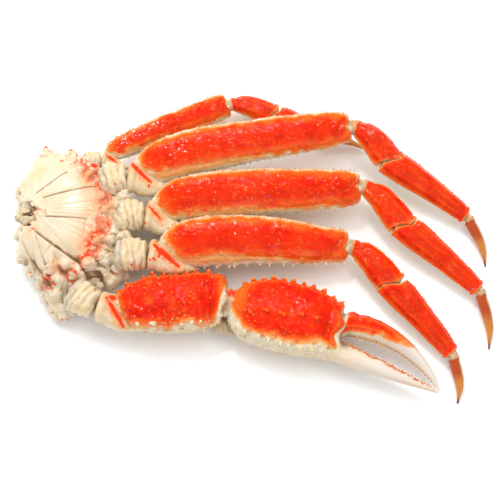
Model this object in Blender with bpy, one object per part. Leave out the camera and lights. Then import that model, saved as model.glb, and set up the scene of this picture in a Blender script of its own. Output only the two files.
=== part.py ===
"""A cooked snow crab cluster: half a body section, four walking legs and one claw, lying flat.

Blender units are metres. Sizes below are in millimetres and become metres through MM. The limbs
run along +X from the body, the claw is the one nearest -Y, and the table is the plane z = 0.
"""

import math

import bmesh
import bpy
from mathutils import Vector

MM = 0.001
GAP = 0.4  # clear space kept between two neighbouring pieces

# A chain is a limb's root joint, then (length, heading in degrees, height) of each later joint.
# The walking legs' links are coxa, ischium, merus, carpus, propodus and dactyl.
LEG_CHAINS = {
    "leg_1": (
        (-67, -4, 18),
        [(14, -2, 17.5), (10, 10, 17), (94, 2, 13), (29, -41, 10.5), (47.5, -50, 6), (24, -86, 1)],
    ),
    "leg_2": (
        (-69, 17, 18.5),
        [(14, 2, 18), (8, 6, 18), (106, 8, 15.5), (30, -42, 12), (51.5, -41, 6.5), (30, -83, 1)],
    ),
    "leg_3": (
        (-77, 36, 20),
        [(12.5, 8, 20), (8.5, 19, 20), (113, 13, 19.5), (27, -40, 15), (50, -35, 7.5), (27, -71, 1)],
    ),
    "leg_4": (
        (-87, 49, 15),
        [(8, 12, 14.5), (5, 12, 14), (70.5, 27.5, 9), (25, -10, 7), (33.5, -22, 5.5), (19.5, -17, 2)],
    ),
}
# The claw's links are coxa, ischium, merus, the open elbow, and the palm up to its hinge.
CLAW_CHAIN = (
    (-90, -25, 16),
    [(13.5, -29, 15.5), (12.5, -11, 15), (51.5, 4, 14.5), (8.5, -13.5, 14), (51.7, -13.5, 12)],
)

# An outline's rows are (share of the link's length, back edge, front edge, half thickness): the
# edges are measured sideways from the straight line between the link's two joints.
MERUS = {
    "leg_1": [
        (0.03, 11, -5, 5), (0.12, 16, -8, 6.5), (0.3, 18.3, -7.5, 7), (0.5, 17.8, -7, 7),
        (0.7, 15.2, -7, 6.5), (0.9, 11, -7, 5.5), (1, 8, -4, 5),
    ],
    "leg_2": [
        (0.03, 12, -3, 5), (0.12, 16.8, -5, 6), (0.28, 18, -5.8, 7), (0.5, 16.8, -7.3, 7),
        (0.7, 14.3, -8, 6.5), (0.9, 11, -8.5, 5.5), (1, 8, -5.5, 5),
    ],
    "leg_3": [
        (0.03, 10, -5.5, 5), (0.12, 15, -7, 6.5), (0.3, 16.7, -6.8, 7), (0.5, 15.8, -6.5, 7),
        (0.7, 14.2, -7, 6.5), (0.9, 11.3, -7.5, 5.5), (1, 8, -4.5, 5),
    ],
    "leg_4": [
        (0.03, 6.5, -1.5, 3), (0.15, 9, -3.5, 4), (0.4, 10, -4, 4.5), (0.75, 9.5, -5.5, 4.5),
        (0.92, 9, -5, 4), (1, 8, -4, 3.5),
    ],
}
COXA = [(0, 7.5, -7.5, 6.5), (0.3, 8.5, -8.5, 7.5), (0.6, 7.5, -8, 7), (1, 7, -7.5, 6.5)]
ISCHIUM = [
    (0, 7, -7, 6.5), (0.15, 8.5, -8, 6.5), (0.3, 6, -9, 6), (0.5, 0, -9, 5.5),
    (0.75, -1.5, -7, 4), (1, -1.5, -4, 2),
]
CARPUS = [
    (0.05, 6.5, -2, 4.5), (0.2, 9, -2.5, 5), (0.45, 10, -4, 5.5), (0.7, 9.5, -6, 5.5),
    (1, 8, -7.5, 5),
]
PROPODUS = [
    (0, 7.5, -7.5, 5), (0.2, 8, -7, 5), (0.5, 7, -5.5, 4.5), (0.8, 5.5, -4.5, 3.5), (1, 4, -4, 3),
]
DACTYL = [
    (0, 2.5, -2.5, 2), (0.2, 3.8, -2, 2.4), (0.45, 4.2, -0.7, 2.2), (0.7, 3.3, 0.1, 1.5),
    (0.9, 1.4, 0, 0.8), (1, 0.5, -0.3, 0.4),
]
CLAW_MERUS = [
    (0, 10, -7, 8), (0.15, 13.5, -10, 10), (0.35, 16, -12, 11), (0.8, 16, -12, 11), (1, 14, -8, 9),
]
CLAW_PALM = [
    (0, 12, -9, 8), (0.04, 15, -13, 10), (0.1, 17.5, -15.2, 11.4), (0.2, 20, -15.5, 12),
    (0.3, 20.3, -15.3, 12), (0.4, 18.5, -15, 11), (0.475, 16, -15, 10), (0.488, 13, -15, 9),
    (0.502, -1, -15, 7), (0.515, -5, -15.3, 5.5), (0.6, -7.2, -16.3, 4.6), (0.75, -10.6, -17.4, 3.4),
    (0.9, -14.6, -18, 1.8), (1, -17.6, -18.3, 0.5),
]
CLAW_FINGER = [
    (0, 11.5, 0.5, 5), (0.06, 13.3, -0.5, 5.5), (0.13, 13.6, 2.5, 5.3), (0.3, 14.5, 6, 4.6),
    (0.55, 13.2, 7, 3.6), (0.75, 10, 5.6, 2.4), (0.9, 6, 3, 1.4), (1, 1.8, 1, 0.5),
]
PALM_LENGTH = 108  # palm and fixed finger, one shell
FINGER_LENGTH = 59
FINGER_HEADING = -31
FINGER_TIP_HEIGHT = 7

MERUS_ROLL = 17  # each leg lies with its back edge raised over the next leg's front edge
OUTER_ROLL = 8
MERUS_SKEW = -0.6  # slant of the seam between ischium and merus
CLAW_SKEW = -0.6
LEG_4_SCALE = 0.8  # its outer links against those of the other legs
LEG_4_ROOT_SCALE = 0.6
LOBE_REACH = (17, -4.5, -2.5)  # from the hip to the tip of the lobe that cups the merus
KNEE_OPENING = 4
WRIST_OPENING = 1.6
ANKLE_OPENING = 2.2
HINGE_OPENING = 4

# Soft skin in each open joint: (length, width, thickness, shift to the back, heading against the
# link before it).
KNEE_NECK = (11, 10, 7, 0.8, -10)
WRIST_NECK = (7, 12, 7, 0, -2)
ANKLE_NECK = (6, 5.5, 4, 0, -12)
ELBOW_NECK = (18, 17, 13, 1, -8)
HINGE_NECK = (12, 10, 7, 6, -12)

# The body's rim as (direction from the hub in degrees, radius, height).
HUB = (-111, 17)  # where the fan of plates meets, by the cut edge
BODY_RIM = [
    (-180, 10.5, 12), (-157, 10.5, 11), (-130, 16, 11), (-108, 25, 10), (-97, 28.5, 9),
    (-88, 31, 8), (-82, 43, 7), (-76, 52, 7), (-70, 53, 7), (-65, 45, 9), (-60, 43, 11),
    (-55, 48, 9), (-49, 46, 9), (-43, 54, 8), (-34, 55, 9), (-28, 54, 12), (-20, 48.5, 17),
    (-13, 49, 18), (-7, 45, 18), (1, 44, 20), (9, 44, 20), (16, 39.5, 21), (26, 39, 21),
    (36, 40, 20), (47, 40, 20), (57, 39.5, 19), (65, 40, 18), (72, 36.5, 18), (82, 36, 18),
    (87, 42, 14), (94, 35, 15), (106, 27, 14), (118, 22, 13), (130, 19.5, 13), (145, 13, 12),
]
BODY_MIDDLE = (-92, 14)
BODY_TOP = 27
DOME = (-86, 16)  # the highest part, over the leg sockets
PIT_DEPTH = 5
PIT_RADIUS = 6
FAN_GROOVES = (52, 26, -13, -52, -84)  # directions from the hub of the grooves between plates
GROOVE_DEPTH = 1.8
GROOVE_WIDTH = 2.2
BAND_RADIUS = 34  # the knobbly band over the sockets, as a distance from the hub
BAND_HEIGHT = 1.8
BAND_KNOB = 1.2
BASE_SHARE = 0.66  # the flat underside against the rim
SOCKET_REACH = 5  # how deep each limb's root sits in the body
MERIDIANS = 50
CROWDING = 0.45  # meridians stand closer towards the limbs

SLOTS = {
    "body_cream": ((0.80, 0.68, 0.50), 0.45),
    "joint_cream": ((0.72, 0.55, 0.36), 0.4),
    "shell_red": ((0.80, 0.07, 0.015), 0.3),
    "membrane": ((0.55, 0.42, 0.32), 0.5),
    "tip_brown": ((0.35, 0.08, 0.015), 0.35),
    "finger_white": ((0.82, 0.62, 0.46), 0.3),
}


def clear_scene():
    for obj in list(bpy.data.objects):
        bpy.data.objects.remove(obj, do_unlink=True)


def collection(name, helper=False):
    made = bpy.data.collections.new(name)
    bpy.context.scene.collection.children.link(made)
    made.hide_render = helper
    return made


def material(slot):
    found = bpy.data.materials.get(slot)
    if found:
        return found
    colour, roughness = SLOTS[slot]
    made = bpy.data.materials.new(slot)
    made.use_nodes = True
    shader = made.node_tree.nodes["Principled BSDF"]
    shader.inputs["Base Color"].default_value = (*colour, 1)
    shader.inputs["Roughness"].default_value = roughness
    shader.inputs["Metallic"].default_value = 0
    return made


def row_at(rows, place):
    """The columns of a table of rows at this place in its first column, eased between the rows."""
    if place <= rows[0][0]:
        return rows[0][1:]
    if place >= rows[-1][0]:
        return rows[-1][1:]
    after = next(i for i, row in enumerate(rows) if row[0] > place)
    low, high = rows[after - 1], rows[after]
    before_low, after_high = rows[max(after - 2, 0)], rows[min(after + 1, len(rows) - 1)]
    span = high[0] - low[0]
    part = (place - low[0]) / span
    values = []
    for column in range(1, len(low)):
        slope_in = span * (high[column] - before_low[column]) / (high[0] - before_low[0])
        slope_out = span * (after_high[column] - low[column]) / (after_high[0] - low[0])
        values.append(
            low[column] * (2 * part**3 - 3 * part**2 + 1)
            + slope_in * (part**3 - 2 * part**2 + part)
            + high[column] * (3 * part**2 - 2 * part**3)
            + slope_out * (part**3 - part**2)
        )
    return values


def rounding(distance, radius):
    """How full a section is near a rounded end: 0 at the end, 1 from the radius inwards."""
    if distance >= radius:
        return 1
    return (1 - (1 - max(distance, 0) / radius) ** 2.4) ** (1 / 2.4)


def link_mesh(name, length, outline, ends, skew, around, rings, extra):
    """A closed shell along +X: a sphere whose rings are moved onto the outline's sections."""
    mesh = bpy.data.meshes.new(name)
    bm = bmesh.new()
    bmesh.ops.create_uvsphere(bm, u_segments=around, v_segments=rings, radius=1)
    for vert in bm.verts:
        turn = math.atan2(vert.co.y, vert.co.x)
        share = (1 + max(-1, min(1, vert.co.z))) / 2
        back, front, _ = row_at(outline, share)
        full = rounding(share * length, ends[0]) * rounding((1 - share) * length, ends[1])
        side = (back + front) / 2 + (back - front) / 2 * full * math.cos(turn)
        slant = side * (skew[0] * (1 - share) ** 3 + skew[1] * share**3)
        along = share * (length + 2 * extra) - extra + slant
        back, front, thick = row_at(outline, along / length)
        side = (back + front) / 2 + ((back - front) / 2 + extra) * full * math.cos(turn)
        rise = (thick + extra) * full * math.sin(turn)
        vert.co = Vector((along, side, rise)) * MM
    bm.to_mesh(mesh)
    bm.free()
    mesh.shade_smooth()
    return mesh


def place(name, mesh, slot, group):
    """A part, or a cutter where there is no slot, hung from the cluster's empty."""
    obj = bpy.data.objects.new(name, mesh)
    group.objects.link(obj)
    obj.parent = CLUSTER
    if slot:
        mesh.materials.append(material(slot))
    else:
        obj.hide_render = True
        obj.display_type = "WIRE"
    return obj


def link(name, slot, start, end, outline, ends=(3, 3), skew=(0, 0), roll=0, around=10, rings=9):
    """One piece from joint to joint, with its mesh along its own +X and its back edge at +Y, and
    its room: the same shape grown by the gap, which cuts the neighbours that it lies in."""
    reach = end - start
    turned = (
        math.radians(roll),
        -math.atan2(reach.z, math.hypot(reach.x, reach.y)),
        math.atan2(reach.y, reach.x),
    )
    form = (reach.length, outline, ends, skew, around, rings)
    obj = place(name, link_mesh(name, *form, 0), slot, PARTS)
    room = place(f"{name}_room", link_mesh(f"{name}_room", *form, GAP), None, CUTTERS)
    for made in (obj, room):
        made.location = start * MM
        made.rotation_euler = turned
    return obj


def cut(obj, *others):
    """Takes the room of each other piece out of this one."""
    for other in others:
        modifier = obj.modifiers.new(other.name, "BOOLEAN")
        modifier.operation = "DIFFERENCE"
        modifier.object = CUTTERS.objects[f"{other.name}_room"]


def joints_of(chain):
    root, links = chain
    joints = [Vector(root)]
    for length, heading, height in links:
        last = joints[-1]
        turn = math.radians(heading)
        joints.append(
            Vector((last.x + length * math.cos(turn), last.y + length * math.sin(turn), height))
        )
    return joints


def scaled(outline, factor):
    return [(share, *(value * factor for value in values)) for share, *values in outline]


def between(start, end, near, far):
    """Two points on the line from start to end: near mm after its start, far mm before its end."""
    way = (end - start).normalized()
    return start + way * near, end - way * far


def neck(name, joint, heading, form, size, *neighbours):
    """A short plug of soft skin that fills the opening between two links."""
    length, width, thickness, back, turned = form
    turn = math.radians(heading + turned)
    way = Vector((math.cos(turn), math.sin(turn), 0))
    left = Vector((-way.y, way.x, 0))
    middle = joint + left * back * size
    half = way * length * size / 2
    outline = scaled(
        [(0, width / 2, -width / 2, thickness / 2), (1, width / 2, -width / 2, thickness / 2)], size
    )
    plug = link(name, "membrane", middle - half, middle + half, outline, ends=(1, 1), around=8, rings=5)
    cut(plug, *neighbours)


def limb_base(name, joints, merus, body, size):
    """The coxa in its socket in the body, and the ischium that cups the root of the merus."""
    root, seam, hip = joints[:3]
    inside, outer = between(root, seam, -SOCKET_REACH, GAP / 2)
    coxa = link(f"{name}_coxa", "joint_cream", inside, outer, scaled(COXA, size), ends=(4, 1.5))
    cut(body, coxa)
    lobe = hip + Vector(LOBE_REACH) * size
    start, _ = between(seam, lobe, GAP / 2, 0)
    ischium = link(
        f"{name}_ischium", "joint_cream", start, lobe, scaled(ISCHIUM, size), ends=(1.5, 4)
    )
    cut(ischium, merus)
    return ischium


def walking_leg(name, body):
    """One leg from the body out. Returns its merus and its ischium."""
    joints = joints_of(LEG_CHAINS[name])
    hip, knee, wrist, ankle, tip = joints[2:]
    headings = [heading for _, heading, _ in LEG_CHAINS[name][1]][2:]
    small = name == "leg_4"
    size = LEG_4_SCALE if small else 1
    merus = link(
        f"{name}_merus", "shell_red", hip, knee, MERUS[name],
        ends=(5 * size, 3), skew=(MERUS_SKEW, 0), roll=MERUS_ROLL, around=12, rings=13,
    )
    ischium = limb_base(name, joints, merus, body, LEG_4_ROOT_SCALE if small else 1)
    start, end = between(knee, wrist, KNEE_OPENING * size, WRIST_OPENING / 2)
    carpus = link(
        f"{name}_carpus", "shell_red", start, end, scaled(CARPUS, size),
        skew=(-0.8, 0.5), roll=OUTER_ROLL,
    )
    start, end = between(wrist, ankle, WRIST_OPENING / 2, ANKLE_OPENING / 2)
    propodus = link(
        f"{name}_propodus", "shell_red", start, end, scaled(PROPODUS, size),
        skew=(0.5, 0), roll=OUTER_ROLL,
    )
    start, _ = between(ankle, tip, ANKLE_OPENING / 2, 0)
    dactyl = link(
        f"{name}_dactyl", "tip_brown", start, tip, scaled(DACTYL, size),
        ends=(1.5, 0.6), skew=(-0.3, 0), around=8, rings=10,
    )
    neck(f"{name}_knee_neck", knee, headings[0], KNEE_NECK, size, merus, carpus)
    neck(f"{name}_wrist_neck", wrist, headings[1], WRIST_NECK, size, carpus, propodus)
    neck(f"{name}_ankle_neck", ankle, headings[2], ANKLE_NECK, size, propodus, dactyl)
    return merus, ischium


def claw(body):
    joints = joints_of(CLAW_CHAIN)
    hip, elbow, palm_root, hinge = joints[2:]
    merus = link(
        "claw_merus", "shell_red", hip, elbow, CLAW_MERUS,
        ends=(7, 4), skew=(CLAW_SKEW, 0), around=14, rings=13,
    )
    limb_base("claw", joints, merus, body, 1)
    way = (hinge - palm_root).normalized()
    palm_tip = palm_root + way * PALM_LENGTH
    palm = link(
        "claw_palm", "shell_red", palm_root, palm_tip, CLAW_PALM, ends=(4, 1), around=16, rings=26
    )
    turn = math.radians(FINGER_HEADING)
    tip = hinge + Vector((math.cos(turn), math.sin(turn), 0)) * FINGER_LENGTH
    tip.z = FINGER_TIP_HEIGHT
    start, _ = between(hinge, tip, HINGE_OPENING, 0)
    finger = link(
        "claw_finger", "finger_white", start, tip, CLAW_FINGER, ends=(2.5, 0.8), rings=14
    )
    heading = CLAW_CHAIN[1][-1][1]
    neck("claw_elbow_neck", (elbow + palm_root) / 2, heading, ELBOW_NECK, 1, merus, palm)
    neck("claw_hinge_neck", (hinge + start) / 2, heading, HINGE_NECK, 1, palm, finger)


def rim_at(direction):
    """Radius and height of the body's rim in this direction from the hub, in degrees."""
    return row_at(BODY_RIM + [(180, *BODY_RIM[0][1:])], direction)


def body_top(direction, radius, share, rim_height):
    """Height of the body's upper face at this place round the hub."""
    x = HUB[0] + radius * math.cos(math.radians(direction))
    y = HUB[1] + radius * math.sin(math.radians(direction))
    from_dome = math.hypot((x - DOME[0]) / 45, (y - DOME[1]) / 55)
    top = BODY_TOP - 7 * from_dome**2
    height = rim_height + (top - rim_height) * (1 - share**3) ** 0.7
    inner = min(1, 4 * (1 - share))
    groove = sum(
        math.exp(-((radius * math.radians(direction - angle) / GROOVE_WIDTH) ** 2))
        for angle in FAN_GROOVES
    )
    height -= GROOVE_DEPTH * min(groove, 1) * inner * min(1, radius / 10)
    band = math.exp(-(((radius - BAND_RADIUS) / 4) ** 2)) * inner
    height += band * (BAND_HEIGHT + BAND_KNOB * math.cos(math.radians(direction) * 13))
    return height - PIT_DEPTH * math.exp(-((radius / PIT_RADIUS) ** 2))


def body_section():
    """The body: a sphere spread out from the hub to the rim above, and drawn in to a flat base."""
    mesh = bpy.data.meshes.new("body")
    bm = bmesh.new()
    bmesh.ops.create_uvsphere(bm, u_segments=MERIDIANS, v_segments=16, radius=1)
    middle = Vector((*BODY_MIDDLE, 0))
    wall_share = 0.3
    for vert in bm.verts:
        turn = math.atan2(vert.co.y, vert.co.x)
        turn -= CROWDING * math.sin(turn)
        rim_radius, rim_height = rim_at(math.degrees(turn))
        outward = Vector((math.cos(turn), math.sin(turn), 0))
        spread = math.hypot(vert.co.x, vert.co.y)
        rim = Vector((*HUB, 0)) + outward * rim_radius
        if vert.co.z >= -1e-6:
            share = spread**1.4
            point = Vector((*HUB, 0)) + outward * rim_radius * share
            point.z = body_top(math.degrees(turn), rim_radius * share, min(share, 1), rim_height)
        elif spread > 1 - wall_share:
            down = (1 - spread) / wall_share
            point = rim.lerp(middle, (1 - BASE_SHARE) * down)
            point.z = rim_height * (1 - down) ** 0.6
        else:
            point = middle.lerp(rim, BASE_SHARE * spread / (1 - wall_share))
        vert.co = point * MM
    bm.to_mesh(mesh)
    bm.free()
    mesh.shade_smooth()
    return place("body", mesh, "body_cream", PARTS)


def stand_on_origin():
    """Moves the cluster so that the middle of its box stands on the origin."""
    bpy.context.view_layer.update()
    meshes = [part for part in PARTS.objects if part.type == "MESH"]
    points = [part.matrix_world @ vert.co for part in meshes for vert in part.data.vertices]
    for axis in (0, 1):
        values = [point[axis] for point in points]
        CLUSTER.location[axis] = -(min(values) + max(values)) / 2
    CLUSTER.location.z = -min(point.z for point in points)


clear_scene()
PARTS = collection("snow_crab_cluster")
CUTTERS = collection("cutters", helper=True)
CLUSTER = bpy.data.objects.new("cluster", None)
PARTS.objects.link(CLUSTER)
BODY = body_section()
LEGS = {leg_name: walking_leg(leg_name, BODY) for leg_name in LEG_CHAINS}
claw(BODY)
for nearer, further in (("leg_1", "leg_2"), ("leg_2", "leg_3"), ("leg_3", "leg_4")):
    cut(LEGS[further][1], LEGS[nearer][0])
stand_on_origin()
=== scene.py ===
"""The looks of a cooked snow crab cluster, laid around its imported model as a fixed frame.

Sizes are in millimetres and become metres through MM. Each shell is a ball whose rings are moved
onto an outline's sections, then pushed in and out along its normals: ridges, folds, grooves and
knobs are real relief, and masks stored on its vertices tell the materials where each colour goes.
"""

import collections
import functools
import itertools
import math

import bmesh
import bpy
import numpy as np
from bpy.props import FloatProperty, FloatVectorProperty, PointerProperty
from mathutils import Euler, Matrix, Vector


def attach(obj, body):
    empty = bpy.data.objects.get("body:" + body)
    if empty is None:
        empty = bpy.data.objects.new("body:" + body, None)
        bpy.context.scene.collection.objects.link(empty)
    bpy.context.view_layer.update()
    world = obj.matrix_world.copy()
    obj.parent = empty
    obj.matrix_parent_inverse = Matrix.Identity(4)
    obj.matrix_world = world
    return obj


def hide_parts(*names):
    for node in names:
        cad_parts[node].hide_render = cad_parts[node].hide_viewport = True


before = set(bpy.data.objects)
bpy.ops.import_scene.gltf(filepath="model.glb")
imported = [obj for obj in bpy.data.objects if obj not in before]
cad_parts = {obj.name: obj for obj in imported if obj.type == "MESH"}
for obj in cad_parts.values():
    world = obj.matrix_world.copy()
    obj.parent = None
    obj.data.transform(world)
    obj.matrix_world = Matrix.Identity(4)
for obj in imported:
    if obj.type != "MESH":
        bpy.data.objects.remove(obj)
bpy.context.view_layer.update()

bl_info = {
    "name": "Snow crab cluster",
    "version": (1, 0, 0),
    "blender": (4, 5, 0),
    "location": "3D View > Sidebar > Snow crab",
    "description": "Builds the shells, skins, horn and studio of a cooked snow crab cluster",
    "category": "Add Mesh",
}

MM = 0.001
# dark is mostly painted shade in folds, grooves, gaps and hollows; it also carries real dark colour:
# the points of the walking tips, the claw's teeth and the red blots on the body.
MASKS = ("red", "pale", "dark", "tip", "ivory")
LEGS = ("leg_1", "leg_2", "leg_3", "leg_4")
LIMBS = (*LEGS, "claw")

# The limbs' own plan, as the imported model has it: a root joint, then (length, heading in degrees,
# height) of each later joint. PLAN_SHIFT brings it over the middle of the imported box. The joints
# are the root, the seam of coxa and ischium, the hip, the knee, the wrist, the ankle and the tip.
# The claw has the elbow in the knee's place, and after it the palm's root and the finger's hinge.
PLAN_SHIFT = np.array((-0.8388, -5.5867, 0))
LEG_CHAINS = {
    "leg_1": (
        (-67, -4, 18),
        [(14, -2, 17.5), (10, 10, 17), (94, 2, 13), (29, -41, 10.5), (47.5, -50, 6), (24, -86, 1)],
    ),
    "leg_2": (
        (-69, 17, 18.5),
        [(14, 2, 18), (8, 6, 18), (106, 8, 15.5), (30, -42, 12), (51.5, -41, 6.5), (30, -83, 1)],
    ),
    "leg_3": (
        (-77, 36, 20),
        [(12.5, 8, 20), (8.5, 19, 20), (113, 13, 19.5), (27, -40, 15), (50, -35, 7.5), (27, -71, 1)],
    ),
    "leg_4": (
        (-87, 49, 15),
        [(8, 12, 14.5), (5, 12, 14), (70.5, 27.5, 9), (25, -10, 7), (33.5, -22, 5.5), (19.5, -17, 2)],
    ),
}
CLAW_CHAIN = (
    (-90, -25, 16),
    [(13.5, -29, 15.5), (12.5, -11, 15), (51.5, 4, 14.5), (8.5, -13.5, 14), (51.7, -13.5, 12)],
)

# An outline's rows are (share of the length, back edge, front edge, half thickness). The back is
# the side towards leg_4.
MERUS = {
    "leg_1": [
        (0, 9.5, -1.5, 4), (0.07, 13.2, -6.2, 5.8), (0.13, 16, -8, 6.5), (0.3, 18.3, -7.5, 7),
        (0.5, 17.8, -7, 7), (0.7, 15.2, -7, 6.5), (0.9, 11, -7.2, 5.5), (1, 9, -6.5, 4.5),
    ],
    "leg_2": [
        (0, 9.5, -1, 4), (0.06, 13.5, -4.2, 5.5), (0.12, 16.4, -5, 6), (0.28, 18, -5.8, 7),
        (0.5, 16.8, -7.3, 7), (0.7, 14.3, -8, 6.5), (0.9, 11, -8.5, 5.5), (1, 8.5, -7.5, 4.5),
    ],
    "leg_3": [
        (0, 9, -2, 4), (0.06, 12, -6, 5.5), (0.12, 15, -7.2, 6.5), (0.3, 16.7, -6.8, 7),
        (0.5, 15.8, -6.5, 7), (0.7, 14.2, -7, 6.5), (0.9, 11, -7.5, 5.5), (1, 8.5, -7, 4.5),
    ],
    "leg_4": [
        (0, 5.5, -0.5, 2.5), (0.08, 8, -2.6, 3.4), (0.15, 9, -3.5, 4), (0.4, 10, -4, 4.5),
        (0.75, 9.5, -5.5, 4.5), (0.92, 9, -5.5, 4), (1, 7.5, -5, 3.2),
    ],
}
COXA = [
    (0, 7.5, -8, 4), (0.25, 8.4, -8.8, 5), (0.45, 8.8, -9, 6.6), (0.65, 8.3, -8.6, 7),
    (0.85, 7.6, -8, 6.8), (1, 7, -7.5, 6.5),
]
ISCHIUM = [
    (0, 7, -7, 6.5), (0.15, 8.5, -8, 7), (0.3, 8, -9, 5.6), (0.5, 3, -9, 4.8),
    (0.75, -0.5, -7, 3.8), (1, -1.5, -4, 2.4),
]
OUTER_LINKS = {
    "carpus": [
        (0.05, 6.5, -2, 4.5), (0.2, 9, -2.5, 5), (0.45, 10, -4, 5.5), (0.7, 9.5, -6, 5.5),
        (1, 8, -7.5, 5),
    ],
    "propodus": [
        (0, 7.5, -7.5, 5), (0.2, 8, -7, 5), (0.5, 7, -5.5, 4.5), (0.8, 5.5, -4.5, 3.5),
        (1, 4, -4, 3),
    ],
    "dactyl": [
        (0, 2.5, -2.5, 2), (0.2, 3.8, -2, 2.4), (0.45, 4.2, -0.7, 2.2), (0.7, 3.3, 0.1, 1.5),
        (0.9, 1.4, 0, 0.8), (1, 0.5, -0.3, 0.4),
    ],
}
CLAW_MERUS = [
    (0, 10, -7, 8), (0.15, 13.5, -10, 10), (0.35, 16, -12, 11), (0.8, 16, -12, 11), (1, 14, -8, 9),
]
CLAW_PALM = [
    (0, 9.5, -9, 7), (0.044, 13, -12.7, 9.6), (0.085, 15.4, -15.4, 11), (0.155, 18.1, -16.7, 11.8),
    (0.218, 19, -17, 12), (0.27, 19.6, -17, 12), (0.342, 19.3, -16.6, 11.6), (0.396, 18.2, -16, 10.8),
    (0.444, 16.4, -15.6, 9.8), (0.485, 14.6, -15.2, 8.8), (0.508, 12.8, -15.2, 8),
    (0.522, -1, -15.2, 6.6), (0.532, -5, -15.4, 5.5), (0.612, -7.2, -16.4, 4.6),
    (0.758, -10.6, -17.6, 3.4), (0.903, -14.6, -18.3, 1.8), (1, -17.6, -18.4, 0.5),
]
CLAW_FINGER = [
    (0, 11, -2, 5.6), (0.05, 12.6, -2.6, 6), (0.1, 13.6, 0, 6), (0.17, 15, 3, 5.6),
    (0.33, 16.6, 6.2, 5), (0.55, 15.6, 7.6, 4), (0.75, 12, 6.2, 2.7), (0.9, 7.4, 3.6, 1.6),
    (1, 1.8, 1, 0.5),
]
FLAP = [(0, 4.5, -4, 3), (0.6, 4, -4, 2.4), (1, 2.5, -3, 1.6)]
PALM_LENGTH = 108
FINGER_LENGTH = 59
FINGER_HEADING = -31
FINGER_TIP_HEIGHT = 7
FINGER_ROOT = -1
MERUS_ROLL = 17
OUTER_ROLL = 8
MERUS_SKEW = (-0.15, 0.12)
MERUS_NOSE = 3
CLAW_SKEW = (-0.25, 0.2)
ELBOW_FLAP = ((-19, -39.5, 9), (-8, -41.5, 7.5))
ARM_COLLAR = 1
ARM_REACH = 1.5
PALM_COLLAR = 4.5
LEG_4_SCALE = 0.8
LEG_4_ROOT_SCALE = 0.6
LOBE_REACH = (18, -5, -5)
SOCKET_REACH = 3
KNEE_OPENING = 1.8
WRIST_OPENING = 0.5
WRIST_WAVE = 0.9
ANKLE_OPENING = 2.2
HINGE_OPENING = 4

# Faces round each shell and along it, and the seed of its relief.
GRIDS = {
    "plan": (8, 8), "merus": (168, 196), "leg_4_merus": (130, 124), "carpus": (76, 88),
    "propodus": (88, 108), "dactyl": (56, 64), "coxa": (112, 90), "ischium": (88, 80),
    "neck": (44, 40), "arm": (170, 170), "flap": (40, 36), "palm": (184, 252),
    "finger": (110, 150), "lobe": (34, 30), "body": (340, 204),
}
SEEDS = {
    "carpus": 20, "propodus": 30, "dactyl": 40, "coxa": 50, "ischium": 60, "neck": 70, "arm": 81,
    "palm": 82, "finger": 83, "flap": 84, "elbow": 90, "hinge": 91, "body": 99, "lobe": 200,
    "knobs": 5, "cells": 11,
}
WELD = 1e-5  # of the unit ball that a shell starts from

# Thorns: how far the swelling under one reaches, in its radii, how much their sizes differ, how
# deep they stand in the shell, in their heights, and how blunt one is to become a dome.
SWELL_REACH = 1.5
THORN_RANGE = (0.8, 1.2)
THORN_DEPTH = 1.3
ROUND_SHARE = 0.5

# Soft skin in an open joint, as (length, width, thickness, shift to the back, heading against the
# link before it), and the knobs in it, as (share, lap, radius, height).
NECKS = {
    "knee": (10, 8.4, 7, 0.8, -10),
    "wrist": (6, 11.5, 7, 0, -2),
    "ankle": (6, 5.5, 4, 0, -12),
    "elbow": (18, 15.5, 12, 1, -8),
    "hinge": (12, 10, 7, 6, -12),
}

NECK_KNOBS = {
    "knee": [(0.45, 0.66, 1.9, 0.9), (0.5, 0.25, 1.3, 0.5)],
    "wrist": [],
    "ankle": [(0.5, 0.4, 1.0, 0.3)],
    "elbow": [(0.5, 0.8, 2.2, 1.2)],
    "hinge": [(0.6, 0.45, 1.6, 0.6)],
}

# The body's rim as (direction from the hub in degrees, radius, height).
HUB = (-111, 17)
BODY_RIM = [
    (-180, 10.5, 12), (-157, 10.5, 11), (-130, 16, 11), (-108, 25, 10), (-97, 28.5, 9),
    (-88, 31, 8), (-82, 43, 7), (-76, 52, 7), (-70, 53, 7), (-65, 45, 9), (-60, 43, 11),
    (-55, 48, 9), (-49, 46, 9), (-43, 54, 8), (-34, 55, 9), (-28, 54, 12), (-20, 48.5, 17),
    (-13, 49, 18), (-7, 45, 18), (1, 44, 20), (9, 44, 20), (16, 39.5, 21), (26, 39, 21),
    (36, 40, 20), (47, 40, 20), (57, 39.5, 19), (65, 40, 18), (72, 36.5, 18), (82, 36, 18),
    (87, 42, 14), (94, 35, 15), (106, 27, 14), (118, 22, 13), (130, 19.5, 13), (145, 13, 12),
    (180, 10.5, 12),
]
BODY_MIDDLE = (-92, 14)
BODY_TOP = 26.2
PIT = (-4.5, -0.8)
PIT_RADIUS = 6.5
DOME = (-86, 16)
DOME_REACH = (45, 55)
DOME_DROP = 7
TOP_SHARE = 0.74  # of the ball's rings, and WALL_SHARE of those below
WALL_SHARE = 0.45
BASE_SHARE = 0.66
CROWDING = 0.45
BAND_RADIUS = 36
RINGED_BALL = (28.5, -27)

# Grooves between the body's plates, each by its two ends in mm from the hub, and its strength.
PLATE_GROOVES = [
    ((0, 10), (15, 22), 0.9),
    ((2, 6.5), (30.5, 14.3), 1.0),
    ((4.4, -3.4), (27, -4.6), 0.9),
    ((0.5, -11), (10, -18.2), 1.0),
    ((10, -18.2), (25, -28), 1.3),
    ((-2, -24), (9.5, -39), 0.9),
    ((0.5, -12), (8.8, -36), 0.5),
    ((-7, -15), (1.5, -30), 0.5),
]
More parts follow.
